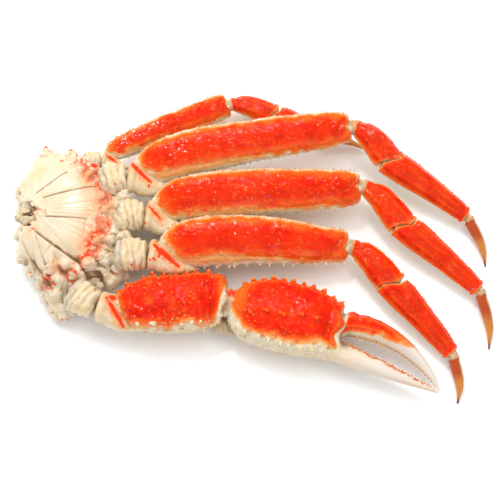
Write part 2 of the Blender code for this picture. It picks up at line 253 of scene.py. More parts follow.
# Bulges of the band over the sockets: (x, y) in mm from the hub, radius and height.
BAND_KNOBS = [
    (22.5, 24, 2.4, 1.5), (27, 21, 2.3, 1.7), (30, 25.5, 2.6, 1.8), (31.5, 18, 2.0, 1.5),
    (33.5, 9, 2.6, 1.8), (35.5, 1, 2.4, 1.5), (31, -4, 1.8, 1.2), (36, -9, 2.6, 1.5),
    (31.5, -15.5, 2.5, 1.6), (28.5, -27, 3.4, 2.6), (23.5, -31, 2.6, 1.8), (36, -24.5, 3.2, 1.8),
    (38.5, -14, 3.0, 1.8), (40, 5, 3.0, 1.6), (9.5, -30, 2.2, 1.6), (16.5, -28, 2.4, 1.6),
    (7, -36, 2.4, 1.6), (14, -35.5, 2.8, 1.8), (25, 30, 2.0, 1.2), (17, 31, 2.0, 1.0),
]
# Orange blushes on the body: (x, y) in mm from the hub, width, depth and strength.
BLUSHES = [
    (13, -29, 7, 5, 1.0), (27, 22, 6.5, 6, 1.0), (11.5, 25.5, 3.5, 3, 0.45), (3, -10, 4, 3, 0.4),
    (20, 32, 8, 3, 0.6), (34, 5, 5, 7, 0.5), (30, -18, 5, 5, 0.5),
]
# Dark red blots in the band: (x, y) in mm from the hub and radius.
RED_SPOTS = [
    (34.6, 4.4, 1.6), (34.6, -8.3, 1.8), (20, 38, 1.4), (12, 30, 0.8), (29, 19, 1.5), (33, 14, 1.2),
    (36, -12, 1.4), (24, 26, 1.2),
]
# Ragged lobes on the body's edge: start and end in the plan, then width, thickness and how
# pointed the end is.
BODY_LOBES = [
    ((-76, -9, 9), (-71.5, -21, 7), 8, 4, 0.2),
    ((-71, -8, 9), (-63.5, -14.5, 8), 9, 5, 0.5),
    ((-80, -14, 9), (-79.5, -23, 7), 7, 5, 0.5),
    ((-104, -21, 8), (-104.5, -28.5, 6), 7, 5, 0.6),
    ((-99, -27, 8), (-101, -35, 5), 7, 5, 0.5),
    ((-96, -30, 8), (-95.5, -37.5, 5), 6, 5, 0.4),
    ((-92, -28, 9), (-90.5, -34, 6), 7, 5, 0.6),
    ((-117, 28, 15), (-122.5, 31.5, 13), 6, 4, 0.4),
    ((-117, 8, 13), (-122, 5, 11), 7, 5, 0.5),
    ((-116, -2, 12), (-120.8, -7, 10), 6, 5, 0.4),
    ((-112, -9, 11), (-115.5, -13.5, 9), 6, 4, 0.4),
    ((-107, -15, 10), (-110, -21, 8), 6, 5, 0.5),
    ((-106.5, 49, 16), (-108.6, 57, 16), 7, 4.5, 0.15),
    ((-95, 49, 17), (-95.6, 55.4, 17), 7, 4, 0.2),
    ((-102, 48, 17), (-102.5, 52.5, 16), 8, 4, 0.6),
    ((-77, 44, 16), (-71, 46, 15), 7, 5, 0.6),
    ((-68, 30, 20), (-64.5, 24, 17), 8, 6, 0.6),
    ((-67, 8, 19), (-63.5, 2, 16), 8, 6, 0.6),
    ((-74, 27, 17), (-71, 24, 17.5), 6, 5, 0.6),
    ((-70.5, 20, 16), (-67.5, 8, 15.5), 7, 6, 0.6),
    ((-73, 5, 15), (-67.5, -6, 15), 9, 7, 0.6),
    ((-70, -8, 14), (-66, -12, 13), 7, 6, 0.6),
    ((-118.5, 13, 17.5), (-114, 15.5, 20.5), 4.4, 3, 0.4),
    ((-113.5, 11.5, 18.5), (-112, 16.5, 21), 3.6, 2.6, 0.3),
    ((-119, 20.5, 18), (-114, 18.2, 20.5), 4, 2.6, 0.3),
    ((-121.5, 15, 16.5), (-118, 18, 20), 4, 3, 0.4),
    ((-106.5, 23.5, 23.4), (-113, 20.6, 23.8), 6, 2.6, 0.4),
    ((-105.5, 15.5, 24.2), (-111.3, 15.4, 23.8), 6, 2.6, 0.4),
    ((-107, 10, 22.6), (-112.8, 10.6, 22), 5, 2.6, 0.4),
]
SPIKES_ABOVE = 15.5  # pointed lobes higher than this have orange tips


# ---------------------------------------------------------------- values a user would change


def colour(name, description, value):
    return FloatVectorProperty(
        name=name, description=description, default=value, size=3, min=0, max=1, subtype="COLOR"
    )


def length(name, description, value):
    return FloatProperty(
        name=name, description=description, default=value * MM, min=0, unit="LENGTH", precision=5
    )


class CrabColours(bpy.types.PropertyGroup):
    """Colours of the cooked crab, as linear values."""

    deep_red: colour("Deep red", "Darkest red of the shells", (0.66, 0.010, 0.001))
    bright_red: colour("Bright red", "Main orange red of the shells", (0.80, 0.024, 0.001))
    orange: colour("Orange", "Shell near its pale edges", (0.84, 0.115, 0.010))
    peach: colour("Peach", "Shell between the orange and the cream", (0.78, 0.28, 0.08))
    tan: colour("Tan", "Lower edge of the legs and folds of the skin", (0.72, 0.30, 0.075))
    cream: colour("Cream", "Pale shell and body", (0.70, 0.60, 0.43))
    warm_cream: colour("Warm cream", "Yellower pale shell", (0.69, 0.535, 0.32))
    # The next two colours are painted shade: the first on the sides of folds, grooves and hollows, the
    # second in their bottoms. They also darken the body's red blots, and the second browns the claw's
    # teeth and a stain on the fixed finger, which is their real colour.
    shade: colour("Shade", "Sides of folds and grooves", (0.48, 0.32, 0.17))
    crevice: colour("Crevice", "Bottom of folds and grooves", (0.20, 0.09, 0.035))
    blush: colour("Blush", "Airbrushed orange on the pale plates", (0.80, 0.25, 0.055))
    # Painted sheen: pinkish patches that stand in for the lights' soft reflection on the wet red shell.
    frost: colour("Frost", "Pinkish bloom on the red shells", (0.82, 0.075, 0.015))
    skin: colour("Skin", "Skin in the open joints", (0.46, 0.31, 0.18))
    amber: colour("Amber", "Tips of spines and grains on red shell", (0.82, 0.29, 0.05))
    wet_grey: colour("Wet grey", "See-through skin at the sockets", (0.46, 0.40, 0.32))
    horn_red: colour("Horn red", "Root of the walking tips", (0.42, 0.06, 0.012))
    horn_amber: colour("Horn amber", "Middle of the walking tips", (0.55, 0.20, 0.035))
    horn_dark: colour("Horn dark", "Point of the walking tips", (0.14, 0.04, 0.01))
    ivory: colour("Ivory", "White ends of the claw's fingers", (0.68, 0.59, 0.50))
    floor: colour("Floor", "Studio floor", (0.96, 0.96, 0.96))


class CrabSizes(bpy.types.PropertyGroup):
    """Sizes of the relief that stands on the shells."""

    leg_spine: length("Leg spine", "Height of the small spines along the legs", 0.42)
    claw_spine: length("Claw spine", "Height of the spines along the claw", 1.25)
    tubercle: length("Tubercle", "Height of the blunt knobs on the claw", 1.1)
    granule: length("Granule", "Height of the grains on the shells' faces", 0.3)
    tooth: length("Tooth", "Height of the teeth on the claw's fingers", 1.1)
    fold: length("Fold", "Depth of the wrinkles round the leg sockets", 1.3)
    groove: length("Groove", "Depth of the grooves between the body's plates", 1.1)
    knob: length("Knob", "Height of the bulges over the leg sockets", 1.5)


def colours():
    """The user's colours."""
    return bpy.context.scene.crab_colours


def size(name):
    """One of the user's sizes, in mm."""
    return getattr(bpy.context.scene.crab_sizes, name) / MM


# ---------------------------------------------------------------- numbers


def step(values, low, high):
    """Eases from 0 at low to 1 at high."""
    part = np.clip((values - low) / (high - low), 0, 1)
    return part * part * (3 - 2 * part)


def fall(values, low, high):
    """Eases from 1 at low to 0 at high."""
    return 1 - step(values, low, high)


def plateau(values, low, full, last, end):
    """Eases from 0 at low to 1 at full, and from 1 at last back to 0 at the end."""
    return step(values, low, full) * fall(values, last, end)


def bell(values, middle, width):
    """1 in the middle, fading to 0 on both sides over about this width."""
    return np.exp(-(((values - middle) / width) ** 2))


def most(*values):
    """The highest of several values in each place."""
    return functools.reduce(np.maximum, values)


def folds(phase, sharpness=0.6):
    """Rounded bulges with sharp creases between, one for each whole step of the phase."""
    return np.abs(np.sin(math.pi * phase)) ** sharpness


CELL_VALUES = np.random.default_rng(SEEDS["cells"]).uniform(-1, 1, 4096)
CELL_KEYS = (73856093, 19349663, 83492791)


def lumps(points, width, seed=0):
    """Smooth random heights between -1 and 1, with lumps of about this width."""
    place = points / width + 31.7 * seed + 500
    cell = np.floor(place).astype(np.int64)
    part = place - cell
    part = part * part * (3 - 2 * part)
    total = np.zeros(len(points))
    for corner in itertools.product((0, 1), repeat=3):
        keys = (cell + corner) * CELL_KEYS
        values = CELL_VALUES[(keys[:, 0] ^ keys[:, 1] ^ keys[:, 2]) % len(CELL_VALUES)]
        total += values * np.where(corner, part, 1 - part).prod(axis=1)
    return total


def pebbles(points, spacing, seed=0):
    """Round pebbles of uneven size, from 0 between them to 1 on top."""
    place = points / spacing + 17.3 * seed + 700
    cell = np.floor(place).astype(np.int64)
    best = np.zeros(len(points))
    for corner in itertools.product((-1, 0, 1), repeat=3):
        near = cell + corner
        keys = near * CELL_KEYS
        code = keys[:, 0] ^ keys[:, 1] ^ keys[:, 2]
        shift = [CELL_VALUES[(code + turn * 977) % len(CELL_VALUES)] for turn in range(4)]
        middle = near + 0.5 + 0.4 * np.array(shift[:3]).T
        away = np.linalg.norm(place - middle, axis=1) / (0.36 + 0.14 * shift[3])
        best = np.maximum(best, 1 - away**2)
    return best


def rows_at(rows, places):
    """The columns of a table of rows at each place in its first column, eased between the rows."""
    table = np.array(rows, float)
    keys = table[:, 0]
    values = table[:, 1:]
    last = len(keys) - 1
    after = np.minimum(np.arange(last + 1) + 1, last)
    before = np.maximum(np.arange(last + 1) - 1, 0)
    slopes = (values[after] - values[before]) / (keys[after] - keys[before])[:, None]
    places = np.clip(places, keys[0], keys[-1])
    high = np.clip(np.searchsorted(keys, places, side="right"), 1, last)
    low = high - 1
    span = (keys[high] - keys[low])[:, None]
    part = (places - keys[low])[:, None] / span
    eased = (
        values[low] * (2 * part**3 - 3 * part**2 + 1)
        + slopes[low] * span * (part**3 - 2 * part**2 + part)
        + values[high] * (3 * part**2 - 2 * part**3)
        + slopes[high] * span * (part**3 - part**2)
    )
    return eased.T


def rounding(distance, radius):
    """How full a section is near a rounded end: 0 at the end, 1 from the radius inwards."""
    inner = np.clip(distance / radius, 0, 1)
    return (1 - (1 - inner) ** 2.4) ** (1 / 2.4)


def crowded(steps, crowd):
    """Even ring steps as shares of the length, closer at both ends and at each (place, width)."""
    grid = np.linspace(0, 1, 2001)
    room = np.ones(len(grid))
    for place, width in ((0, 0.04), (1, 0.04), *crowd):
        room *= 1 - 0.88 * bell(grid, place, width)
    run = np.cumsum(1 / room)
    run = (run - run[0]) / (run[-1] - run[0])
    return np.interp(steps, run, grid)


def joints_of(chain):
    """The joints of a limb in its own plan, from its root to its tip."""
    root, links = chain
    joints = [Vector(root)]
    for long, heading, height in links:
        last = joints[-1]
        turn = math.radians(heading)
        along, across = long * math.cos(turn), long * math.sin(turn)
        joints.append(Vector((last.x + along, last.y + across, height)))
    return joints


def between(start, end, near, far):
    """Two points on the line from start to end: near mm after its start, far mm before its end."""
    way = (end - start).normalized()
    return start + way * near, end - way * far


def scaled(outline, factor):
    """An outline with its widths and thicknesses, but not its shares, made larger or smaller."""
    return [(share, *(value * factor for value in values)) for share, *values in outline]


def level(heading):
    """A level unit vector that points this many degrees round from +X."""
    turn = math.radians(heading)
    return Vector((math.cos(turn), math.sin(turn), 0))


def near(points, spot, width):
    """1 at a spot, fading to 0 around it over about this width."""
    return np.exp(-((points - spot) ** 2).sum(axis=1) / width**2)


# ---------------------------------------------------------------- shells in the making

Thorn = collections.namedtuple("Thorn", "foot way radius height sides masks")


def meshed(name, bm):
    """A new mesh from a bmesh, which is freed."""
    mesh = bpy.data.meshes.new(name)
    bm.to_mesh(mesh)
    bm.free()
    return mesh


def linked(name, data):
    """A new object in the scene."""
    obj = bpy.data.objects.new(name, data)
    bpy.context.scene.collection.objects.link(obj)
    return obj


def ball(around, rings):
    """A unit ball rolled up from a grid, with its poles and seam closed."""
    bm = bmesh.new()
    bmesh.ops.create_grid(bm, x_segments=around, y_segments=rings, size=1)
    for vert in bm.verts:
        turn = vert.co.x * math.pi
        tilt = (vert.co.y + 1) / 2 * math.pi
        wide = math.sin(tilt)
        vert.co = (wide * math.cos(turn), wide * math.sin(turn), -math.cos(tilt))
    bmesh.ops.remove_doubles(bm, verts=bm.verts, dist=WELD)
    return meshed("shell", bm)


def read(items, field, width):
    """One field of all the vertices or normals, a row for each."""
    values = np.empty(len(items) * width, np.float32)
    items.foreach_get(field, values)
    return values.reshape(-1, width).astype(float)


def settled(mesh, values, rounds):
    """Vertex values, each mixed this many times with the mean of its neighbours'."""
    ends = np.empty(len(mesh.edges) * 2, np.int32)
    mesh.edges.foreach_get("vertices", ends)
    first, second = ends.reshape(-1, 2).T
    count = len(mesh.vertices)
    share = np.bincount(first, minlength=count) + np.bincount(second, minlength=count)
    for _ in range(rounds):
        around = np.bincount(first, values[second], count) + np.bincount(second, values[first], count)
        values = (values + around / share) / 2
    return values


class Form:
    """Vertices of a closed mesh with their masks and thorns. points are in the form's own mm."""

    def __init__(self, mesh, seed):
        self.mesh = mesh
        self.random = np.random.default_rng(seed)
        self.seed = seed
        self.masks = {mask: np.zeros(len(mesh.vertices)) for mask in MASKS}
        self.thorns = []
        self.turned = np.eye(3)
        self.start = PLAN_SHIFT.copy()

    def lumps(self, width, more=0):
        """Lumps where the vertices are, different for each value of more."""
        return lumps(self.points, width, self.seed + more)

    def rough(self, *layers):
        """Lumps of several widths on each other, each layer as (height, width, more)."""
        return sum(height * self.lumps(*layer) for height, *layer in layers)

    def pebbles(self, spacing, more=0):
        return pebbles(self.points, spacing, self.seed + more)

    def normals(self):
        """The normal of each vertex where the form has been pushed to so far."""
        self.mesh.vertices.foreach_set("co", self.points.astype(np.float32).ravel())
        self.mesh.update()
        return read(self.mesh.vertex_normals, "vector", 3)

    def push(self, amount):
        """Moves each vertex out along its normal by its amount, in mm."""
        self.points = self.points + self.normals() * amount[:, None]

    def relax(self, rounds, share):
        """Moves each vertex this share of the way to where its neighbours would settle it."""
        smooth = [settled(self.mesh, self.points[:, axis], rounds) for axis in range(3)]
        self.points = self.points + (np.array(smooth).T - self.points) * share[:, None]

    def hollow(self, rounds):
        """How far each vertex lies below its surroundings, in mm."""
        normals = self.normals()
        smooth = [settled(self.mesh, self.points[:, axis], rounds) for axis in range(3)]
        return ((np.array(smooth).T - self.points) * normals).sum(axis=1)

    def mask(self, name, values):
        """Raises a mask to these values where it is lower."""
        self.masks[name] = np.maximum(self.masks[name], np.clip(values, 0, 1))

    def grow(self, spots, radius, height, blunt=0.3, lean=(0, 0), masks=(), sides=7, swell=0.5):
        """Stands a thorn on each vertex number of spots, on a swelling of the surface."""
        normals = self.normals()
        foots = self.points[spots]
        ways = normals[spots]
        if swell:
            raised = most(*(near(self.points, foot, SWELL_REACH * radius) for foot in foots))
            self.points = self.points + normals * (raised * swell * height)[:, None]
            foots = self.points[spots]
        ways = ways + np.array((*lean, 0))
        ways /= np.linalg.norm(ways, axis=1)[:, None]
        for foot, way in zip(foots, ways):
            scale = self.random.uniform(*THORN_RANGE)
            self.thorns.append(
                Thorn(foot, way, (radius * scale, radius * scale * blunt), height * scale, sides, masks)
            )

    def world(self, points):
        """Points of the form at their place in the cluster, in mm."""
        return points @ self.turned.T + self.start


class Shell(Form):
    """A shell from joint to joint along +X, its back edge at +Y. share is the way along it, from
    0 to 1, and lap the way round it: 0 at the back edge, 0.5 on top, 1 at the front edge."""

    def __init__(self, span, outline, fine, ends=(3, 3), skew=(0, 0), roll=0, boxy=0.1, crowd=(),
                 seed=1):
        super().__init__(ball(*fine), seed)
        start, end = span
        reach = end - start
        self.length = reach.length
        self.outline = outline
        self.ends = ends
        self.skew = skew
        turned = Euler(
            (
                math.radians(roll),
                -math.atan2(reach.z, math.hypot(reach.x, reach.y)),
                math.atan2(reach.y, reach.x),
            )
        )
        self.turned = np.array(turned.to_matrix())
        self.start = np.array(start) + PLAN_SHIFT
        unit = read(self.mesh.vertices, "co", 3)
        turn = np.arctan2(unit[:, 1], unit[:, 0])
        turn = turn + 0.3 * np.cos(turn)
        steps = 1 - np.arccos(np.clip(unit[:, 2], -1, 1)) / math.pi
        self.share = crowded(steps, crowd)
        self.lap = turn / math.pi
        self.lap[self.lap < -0.5] += 2
        cosine = np.cos(turn)
        sine = np.sin(turn)
        across = cosine * (1 + boxy * sine**2)
        up = sine * (1 + boxy * cosine**2)
        full = self.fullness(self.share)

        def section(places):
            back, front, thick = rows_at(outline, places)
            return (back + front) / 2 + (back - front) / 2 * full * across, thick

        along = self.share * self.length + section(self.share)[0] * self.slant(self.share)
        side, thick = section(along / self.length)
        self.points = np.stack((along, side, thick * full * up), axis=1)
        self.above = step(np.sin(turn), -0.35, 0.05)

    def slant(self, share):
        """How far the section at a share leans forward for each mm to the back."""
        return self.skew[0] * (1 - share) ** 3 + self.skew[1] * share**3

    def fullness(self, share):
        """How full the section is at these shares, with both ends rounded."""
        start, end = self.ends
        return rounding(share * self.length, start) * rounding((1 - share) * self.length, end)

    def clearance(self, points):
        """About how far each point, given in the cluster's place, lies outside this shell, in mm."""
        local = (points - self.start) @ self.turned
        slant = local[:, 1] * self.skew[0] * (1 - np.clip(local[:, 0] / self.length, 0, 1)) ** 3
        share = np.clip((local[:, 0] - slant) / self.length, 0.001, 0.999)
        back, front, thick = rows_at(self.outline, local[:, 0] / self.length)
        full = self.fullness(share)
        wide = (back - front) / 2 * full
        middle = (back + front) / 2
        out = np.hypot((local[:, 1] - middle) / wide, local[:, 2] / (thick * full)) - 1
        return out * np.minimum(wide, thick * full)

    def insets(self):
        """How far each vertex lies inside the back and the front edge of its own plan, in mm."""
        shares = np.linspace(0, 1, 160)
        back, front, _ = rows_at(self.outline, shares)
        middle = (back + front) / 2
        wide = (back - front) / 2 * self.fullness(shares)
        found = []
        for side in (middle + wide, middle - wide):
            along = shares * self.length + side * self.slant(shares)
            nearest = np.full(len(self.points), np.inf)
            for x, y in zip(along, side):
                away = (self.points[:, 0] - x) ** 2 + (self.points[:, 1] - y) ** 2
                nearest = np.minimum(nearest, away)
            found.append(np.sqrt(nearest))
        return found

    def spots(self, shares, laps):
        """Numbers of the vertices nearest to these places."""
        wide = 12 * math.pi
        found = [
            np.argmin(((self.share - share) * self.length) ** 2 + ((self.lap - lap) * wide) ** 2)
            for share, lap in zip(shares, laps)
        ]
        return np.unique(found)

    def row(self, first, last, count, lap, jitter=0.3):
        """Vertices in a row along the shell, a little out of line."""
        shares = np.linspace(first, last, count)
        gap = (last - first) / max(count - 1, 1)
        shares = shares + self.random.uniform(-jitter, jitter, count) * gap
        laps = np.interp(shares, (first, last), lap) if isinstance(lap, tuple) else np.full(count, lap)
        return self.spots(shares, laps + self.random.uniform(-jitter, jitter, count) * 0.03)

    def scatter(self, count, shares, laps):
        """Vertices at random within these shares and laps."""
        return self.spots(self.random.uniform(*shares, count), self.random.uniform(*laps, count))


def thorn_mesh(forms):
    """All the thorns of a piece as one mesh: domes where they are blunt, or cones."""
    bm = bmesh.new()
    layers = {mask: bm.verts.layers.float.new(mask) for mask in MASKS}
    for form in forms:
        for thorn in form.thorns:
            foot = Vector(form.world(thorn.foot))
            way = Vector(form.turned @ thorn.way)
            wide, narrow = thorn.radius
            turn = way.to_track_quat("Z", "Y").to_matrix().to_4x4()
            if narrow > ROUND_SHARE * wide:
                tall = Matrix.Diagonal((1, 1, thorn.height / wide, 1))
                made = bmesh.ops.create_icosphere(
                    bm, subdivisions=2, radius=wide, matrix=Matrix.Translation(foot) @ turn @ tall
                )
            else:
                depth = thorn.height * THORN_DEPTH
                middle = Matrix.Translation(foot + way * (thorn.height - depth / 2))
                made = bmesh.ops.create_cone(
                    bm, cap_ends=True, segments=thorn.sides, radius1=wide, radius2=narrow,
                    depth=depth, matrix=middle @ turn,
                )
            for vert in made["verts"]:
                high = (vert.co - foot).dot(way) > thorn.height / 2
                for mask, (low_value, high_value) in thorn.masks:
                    vert[layers[mask]] = high_value if high else low_value
    return meshed("thorns", bm)


def finish_piece(node, ending, slot, forms):
    """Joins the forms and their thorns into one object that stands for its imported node."""
    bm = bmesh.new()
    for form in forms:
        points = form.world(form.points).astype(np.float32)
        form.mesh.vertices.foreach_set("co", points.ravel())
        for mask, values in form.masks.items():
            kept = form.mesh.attributes.new(mask, "FLOAT", "POINT")
            kept.data.foreach_set("value", values.astype(np.float32))
        bm.from_mesh(form.mesh)
        bpy.data.meshes.remove(form.mesh)
    thorns = thorn_mesh(forms)
    bm.from_mesh(thorns)
    bpy.data.meshes.remove(thorns)
    bmesh.ops.scale(bm, vec=(MM, MM, MM), verts=bm.verts)
    name = f"{node}_{ending}"
    mesh = meshed(name, bm)
    mesh.shade_smooth()
    mesh.materials.append(LOOKS[slot]())
    obj = linked(name, mesh)
    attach(obj, "root")
    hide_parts(node)
    return obj


# ---------------------------------------------------------------- walking legs

# Masks of the thorns, each at the foot and at the tip.
RED_THORN = (("red", (1, 1)), ("pale", (0.5, 1)), ("tip", (0, 1)))
RED_GRAIN = (("red", (1, 1)), ("pale", (0.6, 1)), ("tip", (0, 0.45)))
RED_KNOB = (("red", (1, 1)), ("pale", (0.4, 0.7)), ("tip", (0, 0.15)))
CREAM_KNOB = (("red", (0, 0)), ("tip", (0.3, 1)))
EDGE_KNOB = (("pale", (0.5, 0.1)), ("tip", (0.1, 0.8)))
SPECKLED_KNOB = (("red", (0.1, 0)), ("tip", (0.1, 0.9)))
BROWN_TOOTH = (("red", (0.55, 0.35)), ("dark", (0.4, 0.15)), ("tip", (0.1, 0.5)))
TAN_TOOTH = (("pale", (0.9, 0.7)), ("tip", (0.3, 0.5)), ("dark", (0.3, 0.1)))


def leg_scale(leg):
    """leg_4, the last and smallest leg, has smaller detail."""
    return LEG_4_SCALE if leg == "leg_4" else 1


def outer_link(leg, number, link, ends, skew, roll=OUTER_ROLL, boxy=0.1):
    """The plain shell of a walking leg's link beyond the knee."""
    knee, wrist, ankle, tip = joints_of(LEG_CHAINS[leg])[3:]
    small = leg_scale(leg)
    spans = {
        "carpus": (knee, wrist, KNEE_OPENING * small, WRIST_OPENING / 2),
        "propodus": (wrist, ankle, WRIST_OPENING / 2, ANKLE_OPENING / 2),
        "dactyl": (ankle, tip, ANKLE_OPENING / 2, 0),
    }
    outline = scaled(OUTER_LINKS[link], small)
    seed = SEEDS[link] + number
    return Shell(between(*spans[link]), outline, GRIDS[link], ends, skew, roll, boxy, seed=seed)


# For each merus: (share, mm) of the pale band along its front edge, then the spacing, radius and
# height of the knobs that stand there.
MERUS_BAND = {
    "leg_1": ([(0, 2), (0.14, 2.6), (0.28, 3.6), (0.5, 2.4), (0.72, 1.4), (1, 0.3)], 5.6, 1.1, 1.0),
    "leg_2": ([(0, 1.8), (0.1, 1.4), (0.3, 1.6), (0.5, 1.8), (0.7, 1.4), (1, 0.3)], 4.0, 0.7, 0.6),
    "leg_3": ([(0, 2), (0.16, 3.6), (0.34, 2.6), (0.52, 1.8), (0.7, 0.7), (1, 0.3)], 3.6, 0.7, 0.6),
    "leg_4": ([(0, 1.4), (0.2, 1.6), (0.6, 1.6), (1, 0.8)], 3.0, 0.45, 0.35),
}


def merus_shell(limb, fine, seed=1):
    """The plain outline of a limb's merus."""
    hip, knee = joints_of(limb_chain(limb))[2:4]
    if limb == "claw":
        span = between(hip, knee, -ARM_COLLAR, -ARM_REACH)
        return Shell(span, CLAW_MERUS, fine, (9, 3), CLAW_SKEW, boxy=0.12, seed=seed)
    small = leg_scale(limb)
    span = between(hip, knee, -MERUS_NOSE * small, 0)
    return Shell(
        span, MERUS[limb], fine, (10 * small, 3 * small), MERUS_SKEW, MERUS_ROLL, 0.12, seed=seed
    )


def leg_merus(leg, number):
    """The long red shell of a walking leg."""
    small = leg_scale(leg)
    shell = merus_shell(leg, GRIDS["leg_4_merus" if leg == "leg_4" else "merus"], number)
    share, lap = shell.share, shell.lap
    left = (1 - share) * shell.length / small
    from_back, from_front = shell.insets()
    rows, gap, radius, height = MERUS_BAND[leg]
    band = rows_at(rows, share)[0]
    top = bell(lap, 0.45, 0.3)
    crease = bell(lap, 0.22 + 0.04 * left, 0.045) * fall(left, 6, 10)
    lobe = bell(lap, 0.74, 0.12) * bell(left, 4, 3)
    side = shell.points[:, 1]
    notch = 0.7 * bell(side, -4.6 * small, 2.4) - 1.4 * bell(side, 1.4 * small, 3)
    shell.points[:, 0] += small * notch * step(left, 5, 0.5)
    grains = shell.pebbles(1.9 * small)
    shell.push(
        small * shell.rough((0.35, 11), (0.25, 4.5, 1), (0.22, 1.9, 2))
        + 0.1 * shell.lumps(1.1, 7)
        + size("granule") * grains * step(share, 0.02, 0.08)
        + 0.5 * small * bell(from_back, 1.2, 0.7) * top * step(share, 0.01, 0.05)
        - 0.3 * small * bell(from_front, band + 0.8, 0.9) * step(lap, 0.4, 0.6)
        - 0.7 * small * crease
        + 0.6 * small * lobe
        - 0.6 * small * bell(lap, 0.72, 0.14) * bell(left, 8.6, 1.1)
        + 0.5 * small * bell(left, 1.3, 0.7)
        - 0.5 * small * bell(left, 2.9, 0.6) * bell(lap, 0.4, 0.3)
    )
    wander = shell.rough((1.3, 4, 3), (0.7, 1.5, 4))
    nose = 1.6 * fall(share, 0.02, 0.12)
    red = step(from_back + 0.5 * wander, 0.1, 3.4 * small + nose)
    soft = 5.5 * small * (1 - 0.5 * step(share, 0.3, 0.7))
    red *= step(from_front + wander, band - 1.5, band + soft)
    red *= step(left, -0.8, 1.8)
    shell.mask("red", red * shell.above)
    # Orange towards the edges: the shell's own colour, and near the back edge also a painted sheen
    # where the shell faces the lights. The tan band along the front edge is the shell's own colour.
    edge = most(
        fall(from_back, 1.5, 9 * small), fall(from_front - band, 2.0, 8 * small),
        0.9 * fall(left, 1.5, 7), fall(share, 0.03, 0.16),
    )
    under = step(lap, 0.5, 0.75) * step(from_front, 0.4, 2.2)
    shell.mask("pale", edge * (0.75 + 0.5 * shell.lumps(5, 6)) * step(red, 0, 0.3))
    shell.mask("pale", (0.85 + 0.3 * shell.lumps(6, 8)) * under * fall(red, 0.3, 0.7))
    shell.mask("tip", 0.75 * step(grains, 0.45, 0.9) * (0.5 + shell.lumps(6, 9)))
    # Painted shade in the creases near the knee, and a darker red a little below the middle of the
    # shell, away from the lights.
    shell.mask("dark", 0.4 * crease + 0.3 * bell(left, 2.7, 0.6) * top + 0.2 * bell(lap, 0.6, 0.16))
    count = int(0.9 * shell.length / 2.2)
    tall = size("leg_spine") * small
    shell.grow(shell.row(0.06, 0.97, count, 0.05), 0.5, tall, masks=RED_THORN, lean=(0.4, 0), swell=0.8)
    shell.grow(shell.row(0.1, 0.95, count, 0.13), 0.42, tall * 0.5, masks=RED_GRAIN, lean=(0.3, 0))
    shell.grow(
        shell.row(0.1, 0.96, int(0.88 * shell.length / gap), 0.95), radius, height,
        masks=EDGE_KNOB, blunt=0.35, swell=0.9,
    )
    finish_piece(f"{leg}_merus", "shell", "shell_red", [shell])


def ridged(shell, laps, width, height):
    """Long ridges at these laps, and where each is, from 0 to 1."""
    ridge = most(*(bell(shell.lap, lap, width) for lap in laps))
    shell.push(height * ridge)
    return ridge


def wrist_wave(shell, small, share):
    """Bends the end of a link into the wave of the wrist's seam."""
    side = shell.points[:, 1] / (6 * small)
    shell.points[:, 0] += WRIST_WAVE * small * np.sin(math.pi * side) * share


def leg_carpus(leg, number):
    """The short link after the knee."""
    small = leg_scale(leg)
    shell = outer_link(leg, number, "carpus", ends=(4 * small, 1.4), skew=(-0.5, 0.5))
    share, lap = shell.share, shell.lap
    wrist_wave(shell, small, step(share, 0.6, 1))
    grains = shell.pebbles(1.8 * small)
    shell.push(small * (shell.rough((0.3, 7), (0.2, 2.5, 1)) + 0.16 * grains))
    shell.mask("tip", 0.5 * step(grains, 0.5, 0.95))
    ridge = ridged(shell, (0.1, 0.36, 0.66, 0.92), 0.05, 0.4 * small)
    left = (1 - share) * shell.length
    shell.push(
        0.3 * bell(left, 0.9, 0.5) - 0.3 * bell(left, 2.2, 0.6) + 0.3 * bell(share, 0.05, 0.03)
    )
    wander = 0.04 * shell.lumps(3, 3)
    red = plateau(lap + wander, -0.02, 0.16, 0.78, 1.0)
    red *= step(share, 0.01, 0.08) * step(left + 8 * wander, 0.2, 1.6)
    rim_line = bell(lap, 0.13, 0.03) * fall(share, 0.5, 0.8) * step(share, 0.08, 0.2)
    corner = step(share, 0.7, 0.95) * step(lap, 0.78, 0.92)
    shell.mask("red", red * shell.above * (1 - 0.7 * rim_line) * (1 - 0.6 * corner))
    edge = 0.8 * most(bell(lap, 0, 0.16), bell(lap, 0.9, 0.14))
    shell.mask("pale", edge + 0.45 * ridge + 0.5 * step(share, 0.8, 0.97) + 0.35 * shell.lumps(5, 4))
    # Painted shade between the ridges.
    shell.mask("dark", 0.3 * (1 - ridge) * bell(lap, 0.5, 0.2))
    spine = size("leg_spine") * small
    shell.grow(shell.row(0.12, 0.95, 13, 0.04), 0.42, spine * 1.1, masks=RED_THORN, lean=(0.4, 0))
    shell.grow(shell.row(0.2, 0.9, 9, 0.9), 0.36, spine * 0.6, masks=RED_GRAIN)
    shell.grow(
        shell.scatter(16, (0.1, 0.9), (0.2, 0.8)), 0.32, size("granule"), masks=RED_GRAIN, blunt=0.5,
    )
    finish_piece(f"{leg}_carpus", "shell", "shell_red", [shell])


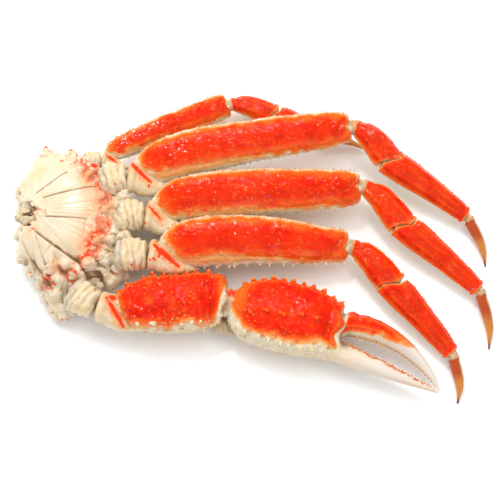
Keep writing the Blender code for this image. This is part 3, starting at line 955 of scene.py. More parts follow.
def leg_propodus(leg, number):
    """The long ridged link before the tip."""
    small = leg_scale(leg)
    shell = outer_link(leg, number, "propodus", ends=(1.4, 1.6), skew=(0.5, 0))
    share, lap = shell.share, shell.lap
    wrist_wave(shell, small, fall(share, 0, 0.25))
    grains = shell.pebbles(1.8 * small)
    shell.push(small * (shell.rough((0.2, 8), (0.14, 2.2, 1)) + 0.12 * grains))
    shell.mask("tip", 0.4 * step(grains, 0.5, 0.95))
    middle = plateau(share, 0.05, 0.16, 0.9, 0.97)
    ridge = ridged(shell, (0.07, 0.27, 0.47, 0.68, 0.9), 0.05, 0.45 * small) * middle
    run = share * shell.length
    shell.push(0.35 * bell(share, 0.97, 0.014) - 0.3 * bell(share, 0.94, 0.014))
    shell.push(0.25 * bell(run, 0.9, 0.5) - 0.25 * bell(run, 2.1, 0.6))
    wander = 0.04 * shell.lumps(2.6, 3)
    red = plateau(lap + wander, -0.08, 0.1, 0.84, 1.04)
    red *= step(run + 8 * wander, 0.2, 1.8) * (1 - 0.6 * step(share, 0.965, 0.985))
    shell.mask("red", red * shell.above)
    edge = 0.75 * most(bell(lap, 0, 0.16), bell(lap, 0.93, 0.16))
    shell.mask("pale", edge + 0.4 * ridge + 0.8 * fall(run, 0.8, 4) + 0.3 * shell.lumps(6, 4))
    # Painted shade in the grooves between the ridges.
    shell.mask("dark", 0.4 * (1 - ridge) * middle * bell(lap, 0.5, 0.35))
    spine = size("leg_spine") * small
    shell.grow(shell.row(0.06, 0.96, 21, 0.03), 0.4, spine, masks=RED_THORN, lean=(0.5, 0))
    shell.grow(shell.row(0.05, 0.95, 24, 0.9), 0.34, spine * 0.55, masks=RED_GRAIN, lean=(0.3, 0))
    shell.grow(shell.row(0.2, 0.9, 14, 0.68), 0.28, spine * 0.4, masks=RED_GRAIN, lean=(0.3, 0))
    finish_piece(f"{leg}_propodus", "shell", "shell_red", [shell])


def leg_dactyl(leg, number):
    """The brown pointed tip."""
    small = leg_scale(leg)
    shell = outer_link(leg, number, "dactyl", ends=(1.5, 0.6), skew=(-0.3, 0), roll=0, boxy=0.05)
    share, lap = shell.share, shell.lap
    shell.push(0.05 * shell.lumps(3))
    fade = fall(share, 0.75, 0.95)
    ridged(shell, (0.12, 0.42, 0.7), 0.07, 0.25 * small * fade)
    shell.push(0.25 * bell(share, 0.06, 0.03))
    pale_patch = fall(lap + 0.08 * shell.lumps(3, 4), 0.1, 0.46) * step(share, 0.0, 0.16)
    pale_patch *= fall(share + 0.08 * shell.lumps(3, 2), 0.2, 0.7)
    shell.mask("pale", pale_patch)
    shell.mask("red", fall(share + 0.05 * shell.lumps(4, 3), 0.3, 0.62))
    shell.mask("tip", step(share, 0.45, 0.75))
    shell.mask("dark", step(share, 0.82, 0.98))
    finish_piece(f"{leg}_dactyl", "horn", "tip_brown", [shell])


def limb_chain(limb):
    """The chain of a walking leg or of the claw."""
    return CLAW_CHAIN if limb == "claw" else LEG_CHAINS[limb]


def root_scale(limb):
    """leg_4 has a smaller root."""
    return LEG_4_ROOT_SCALE if limb == "leg_4" else 1


def limb_coxa(limb, number):
    """The wrinkled sleeve between the body and the limb."""
    root, seam = joints_of(limb_chain(limb))[:2]
    small = root_scale(limb)
    shell = Shell(
        between(root, seam, -SOCKET_REACH, 0), scaled(COXA, small), GRIDS["coxa"], ends=(4, 1.5),
        boxy=0.05, seed=SEEDS["coxa"] + number,
    )
    turned = shell.lap * 3
    along = shell.points[:, 0] / small
    bent = 0.55 * shell.lumps(7 * small) + 0.35 * np.sin(turned + number) + 0.12 * shell.lumps(2.4, 1)
    wrinkle = folds(along / 3.9 + bent, 0.85)
    strength = 0.75 + 0.6 * shell.lumps(5 * small, 2)
    fold = size("fold") * small
    shell.push(fold * (wrinkle - 0.75) * strength + 0.45 * small * shell.lumps(2.6 * small, 3))
    shell.push(0.25 * small * folds(along / 1.5 + 1.6 * bent, 1) * shell.lumps(4 * small, 4))
    shell.push(0.12 * small * shell.lumps(1.1, 9))
    # Painted shade in the folds.
    shell.mask("dark", 0.9 * step(shell.hollow(18), 0.0, 0.55))
    shell.mask("tip", 0.9 * fall(along + 1.5 * shell.lumps(5, 8), 4, 6))
    specks = step(shell.lumps(3, 5) + 0.5 * shell.lumps(1.1, 6), 0.75, 1.1)
    shell.mask("red", 0.9 * specks * shell.above)
    shell.mask("pale", 0.5 * step(shell.lumps(7, 7), 0, 0.8))
    finish_piece(f"{limb}_coxa", "skin", "joint_cream", [shell])


# The red seam on each ischium, from the hip joint in the plan of the merus: its two ends and width.
SEAMS = {
    "leg_1": ((-6.1, 3.4), (6.5, -8.1), 1.2),
    "leg_2": ((-5, 3.5), (0.5, -4), 0.6),
    "leg_3": ((-5.6, 6.1), (3.4, -6.8), 0.95),
    "leg_4": ((-1.8, 1.4), (1, -4), 0.6),
    "claw": ((-5.9, 5.5), (1.5, -9.2), 0.9),
}


def from_line(points, start, end):
    """How far points in a plan lie from the line between two points, and their share along it."""
    start = np.array(start)
    way = np.array(end) - start
    share = np.clip((points - start) @ way / (way @ way), 0, 1)
    return np.linalg.norm(points - start - share[:, None] * way, axis=1), share


def limb_ischium(limb, number):
    """The cream cup with the lobe that wraps the root of the merus."""
    seam, hip = joints_of(limb_chain(limb))[1:3]
    small = root_scale(limb)
    lobe = hip + Vector(LOBE_REACH) * small
    shell = Shell(
        (seam, lobe), scaled(ISCHIUM, small), GRIDS["ischium"], ends=(1.5, 4),
        seed=SEEDS["ischium"] + number,
    )
    merus = merus_shell(limb, GRIDS["plan"])
    bpy.data.meshes.remove(merus.mesh)
    share, lap = shell.share, shell.lap
    on_top = plateau(lap, 0.02, 0.15, 0.85, 0.98)
    place = (shell.world(shell.points) - PLAN_SHIFT - np.array(hip)) @ merus.turned
    seam_start, seam_end, seam_width = SEAMS[limb]
    away, seam_share = from_line(place[:, :2], seam_start, seam_end)
    clear = merus.clearance(shell.world(shell.points))
    shell.push(
        small * shell.rough((0.4, 5), (0.16, 2, 1))
        + 0.5 * small * bell(share, 0.08, 0.05) - 0.5 * small * bell(share, 0.17, 0.04)
        - 0.25 * small * bell(away, 0, seam_width) * on_top
        + 0.3 * small * bell(away, 2.2, 0.9) * on_top
        - 0.3 * small * bell(clear, 0, 1.2) * on_top
    )
    seam_width = seam_width * (0.45 + 0.75 * np.sin(math.pi * seam_share))
    seam_width = seam_width * (1 + 0.3 * shell.lumps(2.5, 8))
    shell.mask("red", 1.2 * bell(away, 0, seam_width) * on_top)
    shell.mask("red", 0.45 * bell(away + 0.8 * shell.lumps(2, 9), 0, 2.6 * seam_width) * on_top)
    spots = step(shell.lumps(3.4, 3) + 0.4 * shell.lumps(1.3, 4), 0.6, 0.85)
    shell.mask("red", 0.75 * spots * on_top * fall(share, 0.45, 0.65))
    if limb == "leg_3":
        shell.mask("red", 0.9 * bell(share, 0.16, 0.05) * bell(lap + 0.1 * shell.lumps(2), 0.36, 0.08))
    if limb == "claw":
        shell.mask("red", 1.2 * bell(share, 0.22, 0.07) * bell(lap, 0.3, 0.09))
    shell.mask("pale", 0.9 * bell(away, 0, 4 * small) * on_top)
    # Painted shade in the hollows.
    shell.mask("dark", step(shell.hollow(10), 0.06, 0.35))
    finish_piece(f"{limb}_ischium", "shell", "joint_cream", [shell])


def soft_neck(node, kind, joint, heading, seed, small=1):
    """Soft skin in an open joint, with the pale knobs that the links turn on."""
    long, width, thickness, back, turned = NECKS[kind]
    width, thickness = width / 2, thickness / 2
    way = level(heading + turned)
    left = Vector((-way.y, way.x, 0))
    middle = joint + left * back * small
    half = way * long * small / 2
    outline = scaled([(share, width, -width, thickness) for share in (0, 1)], small)
    shell = Shell((middle - half, middle + half), outline, GRIDS["neck"], ends=(1, 1), seed=seed)
    share, lap = shell.share, shell.lap
    shell.push(small * (0.35 * folds(share * 5 + 0.5 * shell.lumps(4), 0.7) - 0.3))
    shell.push(small * 0.25 * shell.lumps(1.8, 1))
    for share_at, lap_at, wide, tall in NECK_KNOBS[kind]:
        spot = shell.points[shell.spots([share_at], [lap_at])[0]]
        knob = near(shell.points, spot, wide * small)
        shell.push(tall * small * knob)
        shell.mask("tip", 0.7 * knob)
    # Painted shade: the ends, where the skin goes into the shells, and the hollows are darkened and
    # tanned.
    ends = bell(share, 0.12, 0.16) + bell(share, 0.88, 0.16)
    shell.mask("dark", most(step(shell.hollow(6), 0.0, 0.22), 0.6 * ends))
    shell.mask("pale", 0.5 * ends)
    shell.mask("red", 0.7 * step(shell.lumps(2.4, 3), 0.1, 0.6) * shell.above)
    shell.mask("red", 0.9 * step(lap + 0.1 * shell.lumps(2, 4), 0.72, 0.9) * (small < 1))
    if kind == "elbow":
        shell.push(shell.rough((0.8, 4, 5), (0.4, 1.8, 6)))
        swelling = bell(share + 0.1 * shell.lumps(3, 7), 0.5, 0.26) * bell(lap, 0.33, 0.16)
        shell.push(swelling)
        shell.mask("red", 1.3 * swelling)
    finish_piece(node, "skin", "membrane", [shell])


def leg_necks(leg, number):
    """The skins in the three open joints of a walking leg."""
    joints = joints_of(LEG_CHAINS[leg])[3:6]
    headings = [heading for _, heading, _ in LEG_CHAINS[leg][1]][2:5]
    for kind, joint, heading in zip(("knee", "wrist", "ankle"), joints, headings):
        seed = SEEDS["neck"] + number * 3 + len(kind)
        soft_neck(f"{leg}_{kind}_neck", kind, joint, heading, seed, leg_scale(leg))


# ---------------------------------------------------------------- claw

# Where the red ends on the claw's arm and palm, as (mm along, mm to the back) in their own plans.
ARM_BORDER = [
    (-2, 7), (-0.8, -1.7), (4, -7.6), (15.8, -10.1), (24.6, -10.7), (34.2, -9), (40.3, -10.4),
    (47.8, -7.8), (51, 0), (54, 8),
]
PALM_BORDER = [
    (-6.5, 7), (-4, 2.5), (-2, -2.4), (3.5, -8.1), (11, -11.4), (25.6, -12), (37, -10.6), (44, -8),
    (49, -9), (54, -9.5),
]


def above_border(shell, rows, shift, soft):
    """1 behind a wandering border in the shell's own plan, 0 before it."""
    border = rows_at(rows, shell.points[:, 0] + shift)[0]
    wander = shell.rough((1.0, 4, 3), (0.6, 1.7, 4))
    return step(shell.points[:, 1] - border + wander, -soft, soft)


def teeth(shell, places, laps, tall, uneven, wide, **form):
    """A row of teeth that get smaller towards the tip, every third one taller. tall and wide are
    the first tooth's height, as a share of the user's, and radius, with how much less each next
    one has. uneven is the height of the lower teeth, and how much more the taller ones have."""
    for number, place in enumerate(places):
        height = size("tooth") * (tall[0] - tall[1] * number)
        height *= uneven[0] + uneven[1] * (number % 3 == 0)
        spots = shell.spots([place], [laps[number % len(laps)]])
        shell.grow(spots, wide[0] - wide[1] * number, height, **form)


def claw_merus():
    """The claw's knobbly arm."""
    shell = merus_shell("claw", GRIDS["arm"], SEEDS["arm"])
    share, lap = shell.share, shell.lap
    left = (1 - share) * shell.length
    from_back, _ = shell.insets()
    pebble = shell.pebbles(2.6)
    shell.push(
        shell.rough((0.8, 8), (0.55, 3.6, 1), (0.3, 1.8, 2))
        + 0.75 * pebble + 0.35 * shell.pebbles(1.5, 1)
        + 0.9 * bell(left, 2.0, 1.3) * step(lap, -0.1, 0.1)
        - 1.2 * bell(left, 5.5, 1.6) * bell(lap, 0.5, 0.35)
        + 1.8 * bell(left, 3.6, 2.4) * bell(lap, 0.55, 0.12)
    )
    shell.points[:, 0] += (1.4 * bell(lap, 0.57, 0.1) + 0.8 * shell.lumps(3, 12)) * bell(left, 1.5, 3)
    red = above_border(shell, ARM_BORDER, -ARM_COLLAR, 3.6) * step(from_back, -0.8, 1.2)
    red *= step(share * shell.length + shell.lumps(3, 5), 0.6, 4)
    shell.mask("red", red * shell.above * (1 - 0.8 * fall(left, 0.3, 1.6)))
    edge = 0.8 * fall(from_back, 0.5, 4.5) + 0.8 * fall(share * shell.length, 2, 8)
    pale = most(
        edge, 1.6 * (1 - above_border(shell, ARM_BORDER, -ARM_COLLAR, 6)),
        0.9 * fall(left, 1.5, 7), 0.8 * shell.lumps(5.5, 6),
    )
    shell.mask("pale", pale * step(red, 0, 0.4))
    shell.mask("tip", 0.6 * step(pebble, 0.6, 1) * (0.4 + shell.lumps(6, 9)))
    # Painted shade in the hollows.
    shell.mask("dark", 0.5 * step(shell.hollow(12), 0.05, 0.4))
    spine = size("claw_spine")
    shell.grow(shell.row(0.06, 0.94, 10, 0.08), 1.25, spine, 0.2, masks=RED_THORN, lean=(0.3, 0),
               sides=8, swell=0.9)
    shell.grow(shell.row(0.1, 0.9, 8, 0.24, 0.8), 0.8, spine * 0.4, masks=RED_THORN, sides=8)
    tubercle = size("tubercle")
    shell.grow(shell.scatter(34, (0.06, 0.92), (0.16, 0.68)), 0.7, tubercle * 0.4, 0.4,
               masks=RED_GRAIN, swell=1.4)
    shell.grow(shell.row(0.12, 0.95, 7, 0.8, 0.6), 1.3, tubercle, 0.25, masks=CREAM_KNOB, sides=10,
               swell=0.9, lean=(0, -0.6))
    shell.grow(shell.row(0.15, 0.96, 9, 0.95, 0.6), 1.2, tubercle, 0.25, masks=CREAM_KNOB, sides=10,
               swell=0.9)
    shell.grow(shell.scatter(40, (0.05, 0.97), (0.7, 1.05)), 0.4, size("granule"), 0.5,
               masks=SPECKLED_KNOB)
    start, end = (Vector(point) for point in ELBOW_FLAP)
    flap = Shell((start, end), FLAP, GRIDS["flap"], seed=SEEDS["flap"])
    flap.push(0.5 * flap.lumps(2.5) + 0.5 * folds(flap.share * 4 + 0.6 * flap.lumps(4), 0.7))
    flap.mask("tip", np.full(len(flap.points), 0.7))
    # Painted shade on the flap under the elbow, deepest in its folds.
    flap.mask("dark", 0.3 + 0.6 * step(flap.hollow(8), 0.0, 0.3))
    finish_piece("claw_merus", "shell", "shell_red", [shell, flap])


def claw_palm():
    """The palm and the fixed finger, one shell."""
    palm_root, hinge = joints_of(CLAW_CHAIN)[4:6]
    way = (hinge - palm_root).normalized()
    span = (palm_root - way * PALM_COLLAR, palm_root + way * PALM_LENGTH)
    shell = Shell(
        span, CLAW_PALM, GRIDS["palm"], ends=(9, 1), boxy=0.08, crowd=((0.5, 0.02),), seed=SEEDS["palm"]
    )
    share, lap = shell.share, shell.lap
    along = shell.points[:, 0] - PALM_COLLAR
    side = shell.points[:, 1]
    from_back, _ = shell.insets()
    palm = fall(along, 50.5, 54)
    finger = step(along, 53, 60)
    pebble = shell.pebbles(2.6)
    ragged = 1.5 * np.sin(0.5 * side + 0.6) + 1.2 * shell.lumps(3, 12)
    shell.points[:, 0] += ragged * bell(along, 51.5, 3) * step(lap, 0.05, 0.25) * fall(lap, 0.7, 0.8)
    flange = bell(along, 50.2, 1.6) * step(lap, 0.15, 0.4) * fall(lap, 0.68, 0.76)
    shell.push(
        palm * shell.rough((0.5, 9), (0.35, 3.4, 1), (0.2, 1.6, 2))
        + palm * (0.7 * pebble + 0.32 * shell.pebbles(1.5, 1))
        + 0.7 * bell(share, 0.02, 0.012) * step(lap, -0.2, 0)
        - 0.6 * bell(share, 0.05, 0.012) * bell(lap, 0.5, 0.5)
        + 1.2 * flange * (0.8 + 0.6 * shell.lumps(3, 13))
        - 1.2 * bell(along, 46.6, 1.6) * bell(lap, 0.52, 0.16)
        + finger * 0.1 * shell.lumps(6, 3)
        - 0.25 * finger * bell(lap, 0.3, 0.06)
        - 0.35 * bell(along, 49 + 8 * (lap - 0.8), 0.7) * step(lap, 0.66, 0.76)
    )
    red = above_border(shell, PALM_BORDER, -PALM_COLLAR, 4) * step(from_back, -0.8, 1.4)
    red *= step(share + 0.01 * shell.lumps(3, 6), 0.002, 0.032) * palm
    red *= fall(along, 51.8, 53.6)
    shell.mask("red", red * shell.above)
    pale = 0.7 * fall(from_back, 0.5, 5) + 0.9 * fall(share, 0.04, 0.12)
    pale = most(
        pale, 1.44 * (1 - above_border(shell, PALM_BORDER, -PALM_COLLAR, 6)),
        0.7 * flange, -0.1 + 0.7 * shell.lumps(6, 7),
    )
    shell.mask("pale", pale * step(red, 0, 0.4))
    shell.mask("tip", 0.6 * palm * step(pebble, 0.6, 1) * (0.4 + shell.lumps(6, 9)))
    shell.mask("ivory", step(along, 52, 75))
    # Painted shade in the hollows of the palm.
    shell.mask("dark", 0.5 * palm * step(shell.hollow(10), 0.05, 0.4))
    inner = bell(along, 55, 3.2) * fall(lap, 0.25, 0.5)
    stain = finger * bell(from_back, 0, 1.1) * fall(share, 0.9, 1) * (0.6 + shell.lumps(1.5, 8))
    shell.mask("red", 0.75 * stain)
    shell.mask("dark", 0.85 * inner + 0.5 * stain)
    shell.mask("pale", finger * (0.3 * bell(side, -18, 1.6) + 0.25 * fall(along, 54, 72)))

    spine = size("claw_spine")
    tubercle = size("tubercle")
    crest = 0.05 + 0.4 * np.linspace(0, 1, 10) ** 1.1
    shell.grow(shell.spots(crest, np.full(10, 0.09)), 1.4, spine, 0.25, masks=RED_THORN,
               lean=(0.15, 0), sides=9, swell=1.0)
    shell.grow(shell.spots([0.495], [0.06]), 1.1, spine * 1.2, 0.2, masks=RED_THORN, lean=(0.9, 0),
               sides=9)
    shell.grow(shell.row(0.06, 0.42, 9, 0.2, 0.8), 0.7, tubercle * 0.6, masks=RED_THORN, sides=8)
    shell.grow(shell.row(0.08, 0.4, 8, (0.56, 0.5), 0.6), 1.15, tubercle * 0.55, 0.55,
               masks=RED_KNOB, sides=9, swell=1.8)
    shell.grow(shell.row(0.11, 0.41, 7, (0.78, 0.81), 0.2), 1.4, tubercle * 1.6, 0.2, masks=CREAM_KNOB,
               sides=10, swell=0.6, lean=(0, -0.7))
    shell.grow(shell.scatter(30, (0.05, 0.46), (0.84, 1.1)), 0.4, size("granule"), 0.5,
               masks=SPECKLED_KNOB)
    shell.grow(shell.scatter(16, (0.1, 0.44), (0.64, 0.76)), 0.5, size("granule") * 1.4, 0.5,
               masks=RED_GRAIN)
    teeth(
        shell, np.linspace(0.54, 0.975, 29), (0.04, 0.07), (1.25, 0.03), (0.8, 0.35), (1.7, 0.04),
        blunt=0.15, masks=BROWN_TOOTH, swell=0.3,
    )
    finish_piece("claw_palm", "shell", "shell_red", [shell])


def claw_finger():
    """The finger that moves."""
    hinge = joints_of(CLAW_CHAIN)[-1]
    tip = hinge + level(FINGER_HEADING) * FINGER_LENGTH
    tip.z = FINGER_TIP_HEIGHT
    span = between(hinge, tip, FINGER_ROOT, 0)
    shell = Shell(span, CLAW_FINGER, GRIDS["finger"], ends=(3, 0.8), seed=SEEDS["finger"])
    share, lap = shell.share, shell.lap
    fade = fall(share, 0.5, 0.85)
    shell.push(0.12 * shell.lumps(5) + 0.4 * bell(share, 0.05, 0.03) - 0.45 * bell(share, 0.11, 0.025))
    ridge = ridged(shell, (0.08, 0.32, 0.56), 0.06, 0.5 * fade)
    wander = shell.rough((0.07, 5, 1), (0.04, 1.8, 2))
    red = fall(lap + 0.45 * share + wander, 0.6, 0.95) * step(share + wander / 2, 0.01, 0.05)
    red *= fall(share + 0.25 * lap + 1.5 * wander, 0.34, 0.9)
    streak = bell(lap, 0.1, 0.13) * fall(share + wander, 0.5, 0.88) * step(share, 0.08, 0.15)
    valley = bell(lap, 0.46, 0.05) * fall(share + wander, 0.4, 0.75) * step(share, 0.1, 0.18)
    shell.mask("red", most(red, 0.85 * streak, 0.6 * valley) * shell.above)
    shell.mask("pale", (0.7 * ridge + 0.35 * step(share, 0.15, 0.6)) * step(red, 0, 0.5))
    shell.mask("ivory", step(share, 0.1, 0.6))
    inner = bell(lap, 0.95, 0.06) * fall(share, 0.75, 0.95)
    shell.mask("dark", (0.45 + 0.3 * shell.lumps(2, 5)) * inner)
    shell.mask("pale", 0.8 * inner)
    # Painted shade in the groove near the root.
    shell.mask("dark", 0.5 * bell(share, 0.11, 0.02) * step(lap, 0.6, 0.9))
    teeth(
        shell, np.linspace(0.18, 0.94, 22), (0.95,), (1.3, 0.035), (0.85, 0.3), (1.35, 0.035),
        blunt=0.1, masks=TAN_TOOTH, sides=8, swell=0.4,
    )
    shell.grow(shell.scatter(14, (0.05, 0.35), (0.0, 0.5)), 0.4, size("granule"), 0.5, masks=RED_GRAIN)
    finish_piece("claw_finger", "shell", "finger_white", [shell])


def claw_necks():
    """The skins in the claw's elbow and in the hinge of its finger."""
    elbow, palm_root, hinge = joints_of(CLAW_CHAIN)[3:6]
    heading = CLAW_CHAIN[1][-1][1]
    finger_root = hinge + level(FINGER_HEADING) * HINGE_OPENING
    for kind, start, end in (("elbow", elbow, palm_root), ("hinge", hinge, finger_root)):
        soft_neck(f"claw_{kind}_neck", kind, (start + end) / 2, heading, SEEDS[kind])


# ---------------------------------------------------------------- body


def away_from(place, x, y):
    """How far each place in a plan lies from a spot."""
    return np.hypot(place[:, 0] - x, place[:, 1] - y)


def patch(place, x, y, wide, tall):
    """1 at a spot in a plan, fading to 0 over its width and depth."""
    return bell(place[:, 0], x, wide) * bell(place[:, 1], y, tall)


def groove_lines(place):
    """How near each place is to the grooves, from 0 to 1, and the step up across them, in mm."""
    line = np.zeros(len(place))
    raised = np.zeros(len(place))
    for start, end, strength in PLATE_GROOVES:
        away, share = from_line(place, start, end)
        way = np.array(end, float) - start
        turned = (place - start) @ np.array((-way[1], way[0])) / np.hypot(*way)
        inside = step(share, -0.1, 0.12) * (1 - step(share, 0.97, 1.0) * step(away, 0.5, 3))
        line = np.maximum(line, strength * bell(away, 0, 0.55) * (0.2 + 0.8 * inside))
        over = fall(turned, -0.5, 0.3)
        beside = 1.0 * over * np.exp(-away / 5) - 0.5 * (1 - over) * np.exp(-away / 2.5)
        raised += strength * beside * inside * fall(share, 0.95, 1)
    return line, raised


class Body(Form):
    """The body section: a ball spread from the hub to the rim above, with a flat base below."""

    def __init__(self):
        super().__init__(ball(*GRIDS["body"]), SEEDS["body"])
        unit = read(self.mesh.vertices, "co", 3)
        turn = np.arctan2(unit[:, 1], unit[:, 0])
        turn = turn - CROWDING * np.sin(turn)
        steps = np.arccos(np.clip(unit[:, 2], -1, 1)) / math.pi
        direction = np.degrees(turn)
        rim_radius, rim_height = rows_at(BODY_RIM, direction)

        def spread(radius):
            return np.stack((HUB[0] + radius * np.cos(turn), HUB[1] + radius * np.sin(turn)), axis=1)

        part = np.clip(steps / TOP_SHARE, 0, 1)
        share = 1.3 * part - 0.3 * part**2
        place = spread(rim_radius * share)
        from_dome = np.hypot(*((place - DOME) / DOME_REACH).T)
        top = BODY_TOP - DOME_DROP * from_dome**2
        height = rim_height + (top - rim_height) * (1 - np.clip(share, 0, 1) ** 3) ** 0.7
        low = np.clip((steps - TOP_SHARE) / (1 - TOP_SHARE), 0, 1)
        down = np.clip(low / WALL_SHARE, 0, 1)
        in_base = BASE_SHARE * np.clip((1 - low) / (1 - WALL_SHARE), 0, 1)
        middle = np.array(BODY_MIDDLE)
        rim = spread(rim_radius)
        wall = rim + (middle - rim) * ((1 - BASE_SHARE) * down)[:, None]
        base = middle + (rim - middle) * in_base[:, None]
        under = np.where((low < WALL_SHARE)[:, None], wall, base)
        below = steps > TOP_SHARE
        place = np.where(below[:, None], under, place)
        height = np.where(below, rim_height * (1 - down) ** 0.6, height)
        self.points = np.column_stack((place, height))
        self.radius = away_from(place, *HUB)
        self.direction = direction
        self.share = share
        self.above = fall(steps, TOP_SHARE - 0.02, TOP_SHARE + 0.08)
        self.wall = np.where(below, 1 - down, step(share, 0.85, 1))


def knob_ring():
    """(x, y, radius, height) of the small bulges among the large ones, from a few rules."""
    random = np.random.default_rng(SEEDS["knobs"])
    knobs = []
    for number, direction in enumerate(np.linspace(62, -84, 34)):
        radius = BAND_RADIUS + 5 * (number % 3) / 2 + random.uniform(-1.5, 1.5)
        turn = math.radians(direction + random.uniform(-2, 2))
        wide = random.uniform(1.0, 1.9)
        knobs.append((radius * math.cos(turn), radius * math.sin(turn), wide, 0.55 * wide))
    return knobs


def body_lobe(number, start, end, wide, thick, blunt):
    """A ragged lobe of skin on the body's edge."""
    half, deep = wide / 2, thick / 2
    rows = [
        (0, half, -half, deep), (0.5, half, -half, deep),
        (1, half * blunt, -half * blunt, deep * max(blunt, 0.4)),
    ]
    span = (Vector(start), Vector(end))
    lobe = Shell(span, rows, GRIDS["lobe"], (2, 2 * blunt), seed=SEEDS["lobe"] + number)
    fine = min(wide / 7, 1)
    lobe.push(fine * lobe.rough((1.1, 3.4), (0.8, 1.7, 1), (0.3, 0.9, 2)))
    in_pit = np.hypot(start[0] - HUB[0] - PIT[0], start[1] - HUB[1] - PIT[1]) < PIT_RADIUS
    # Painted shade in the pit and in the lobe's hollows.
    lobe.mask("dark", in_pit * (0.3 + 0.3 * lobe.lumps(1.6, 6)))
    lobe.mask("dark", 0.9 * step(lobe.hollow(10), 0.05, 0.35))
    lobe.mask("tip", 0.8 * step(lobe.lumps(4, 3), -0.2, 0.6))
    marks = step(lobe.lumps(2.2, 4) + 0.6 * lobe.lumps(0.9, 5), 0.6, 0.9)
    spike = blunt < 0.3 and start[2] > SPIKES_ABOVE
    lobe.mask("red", most(0.8 * marks, 0.9 * step(lobe.share, 0.7, 0.9) * spike))
    return lobe


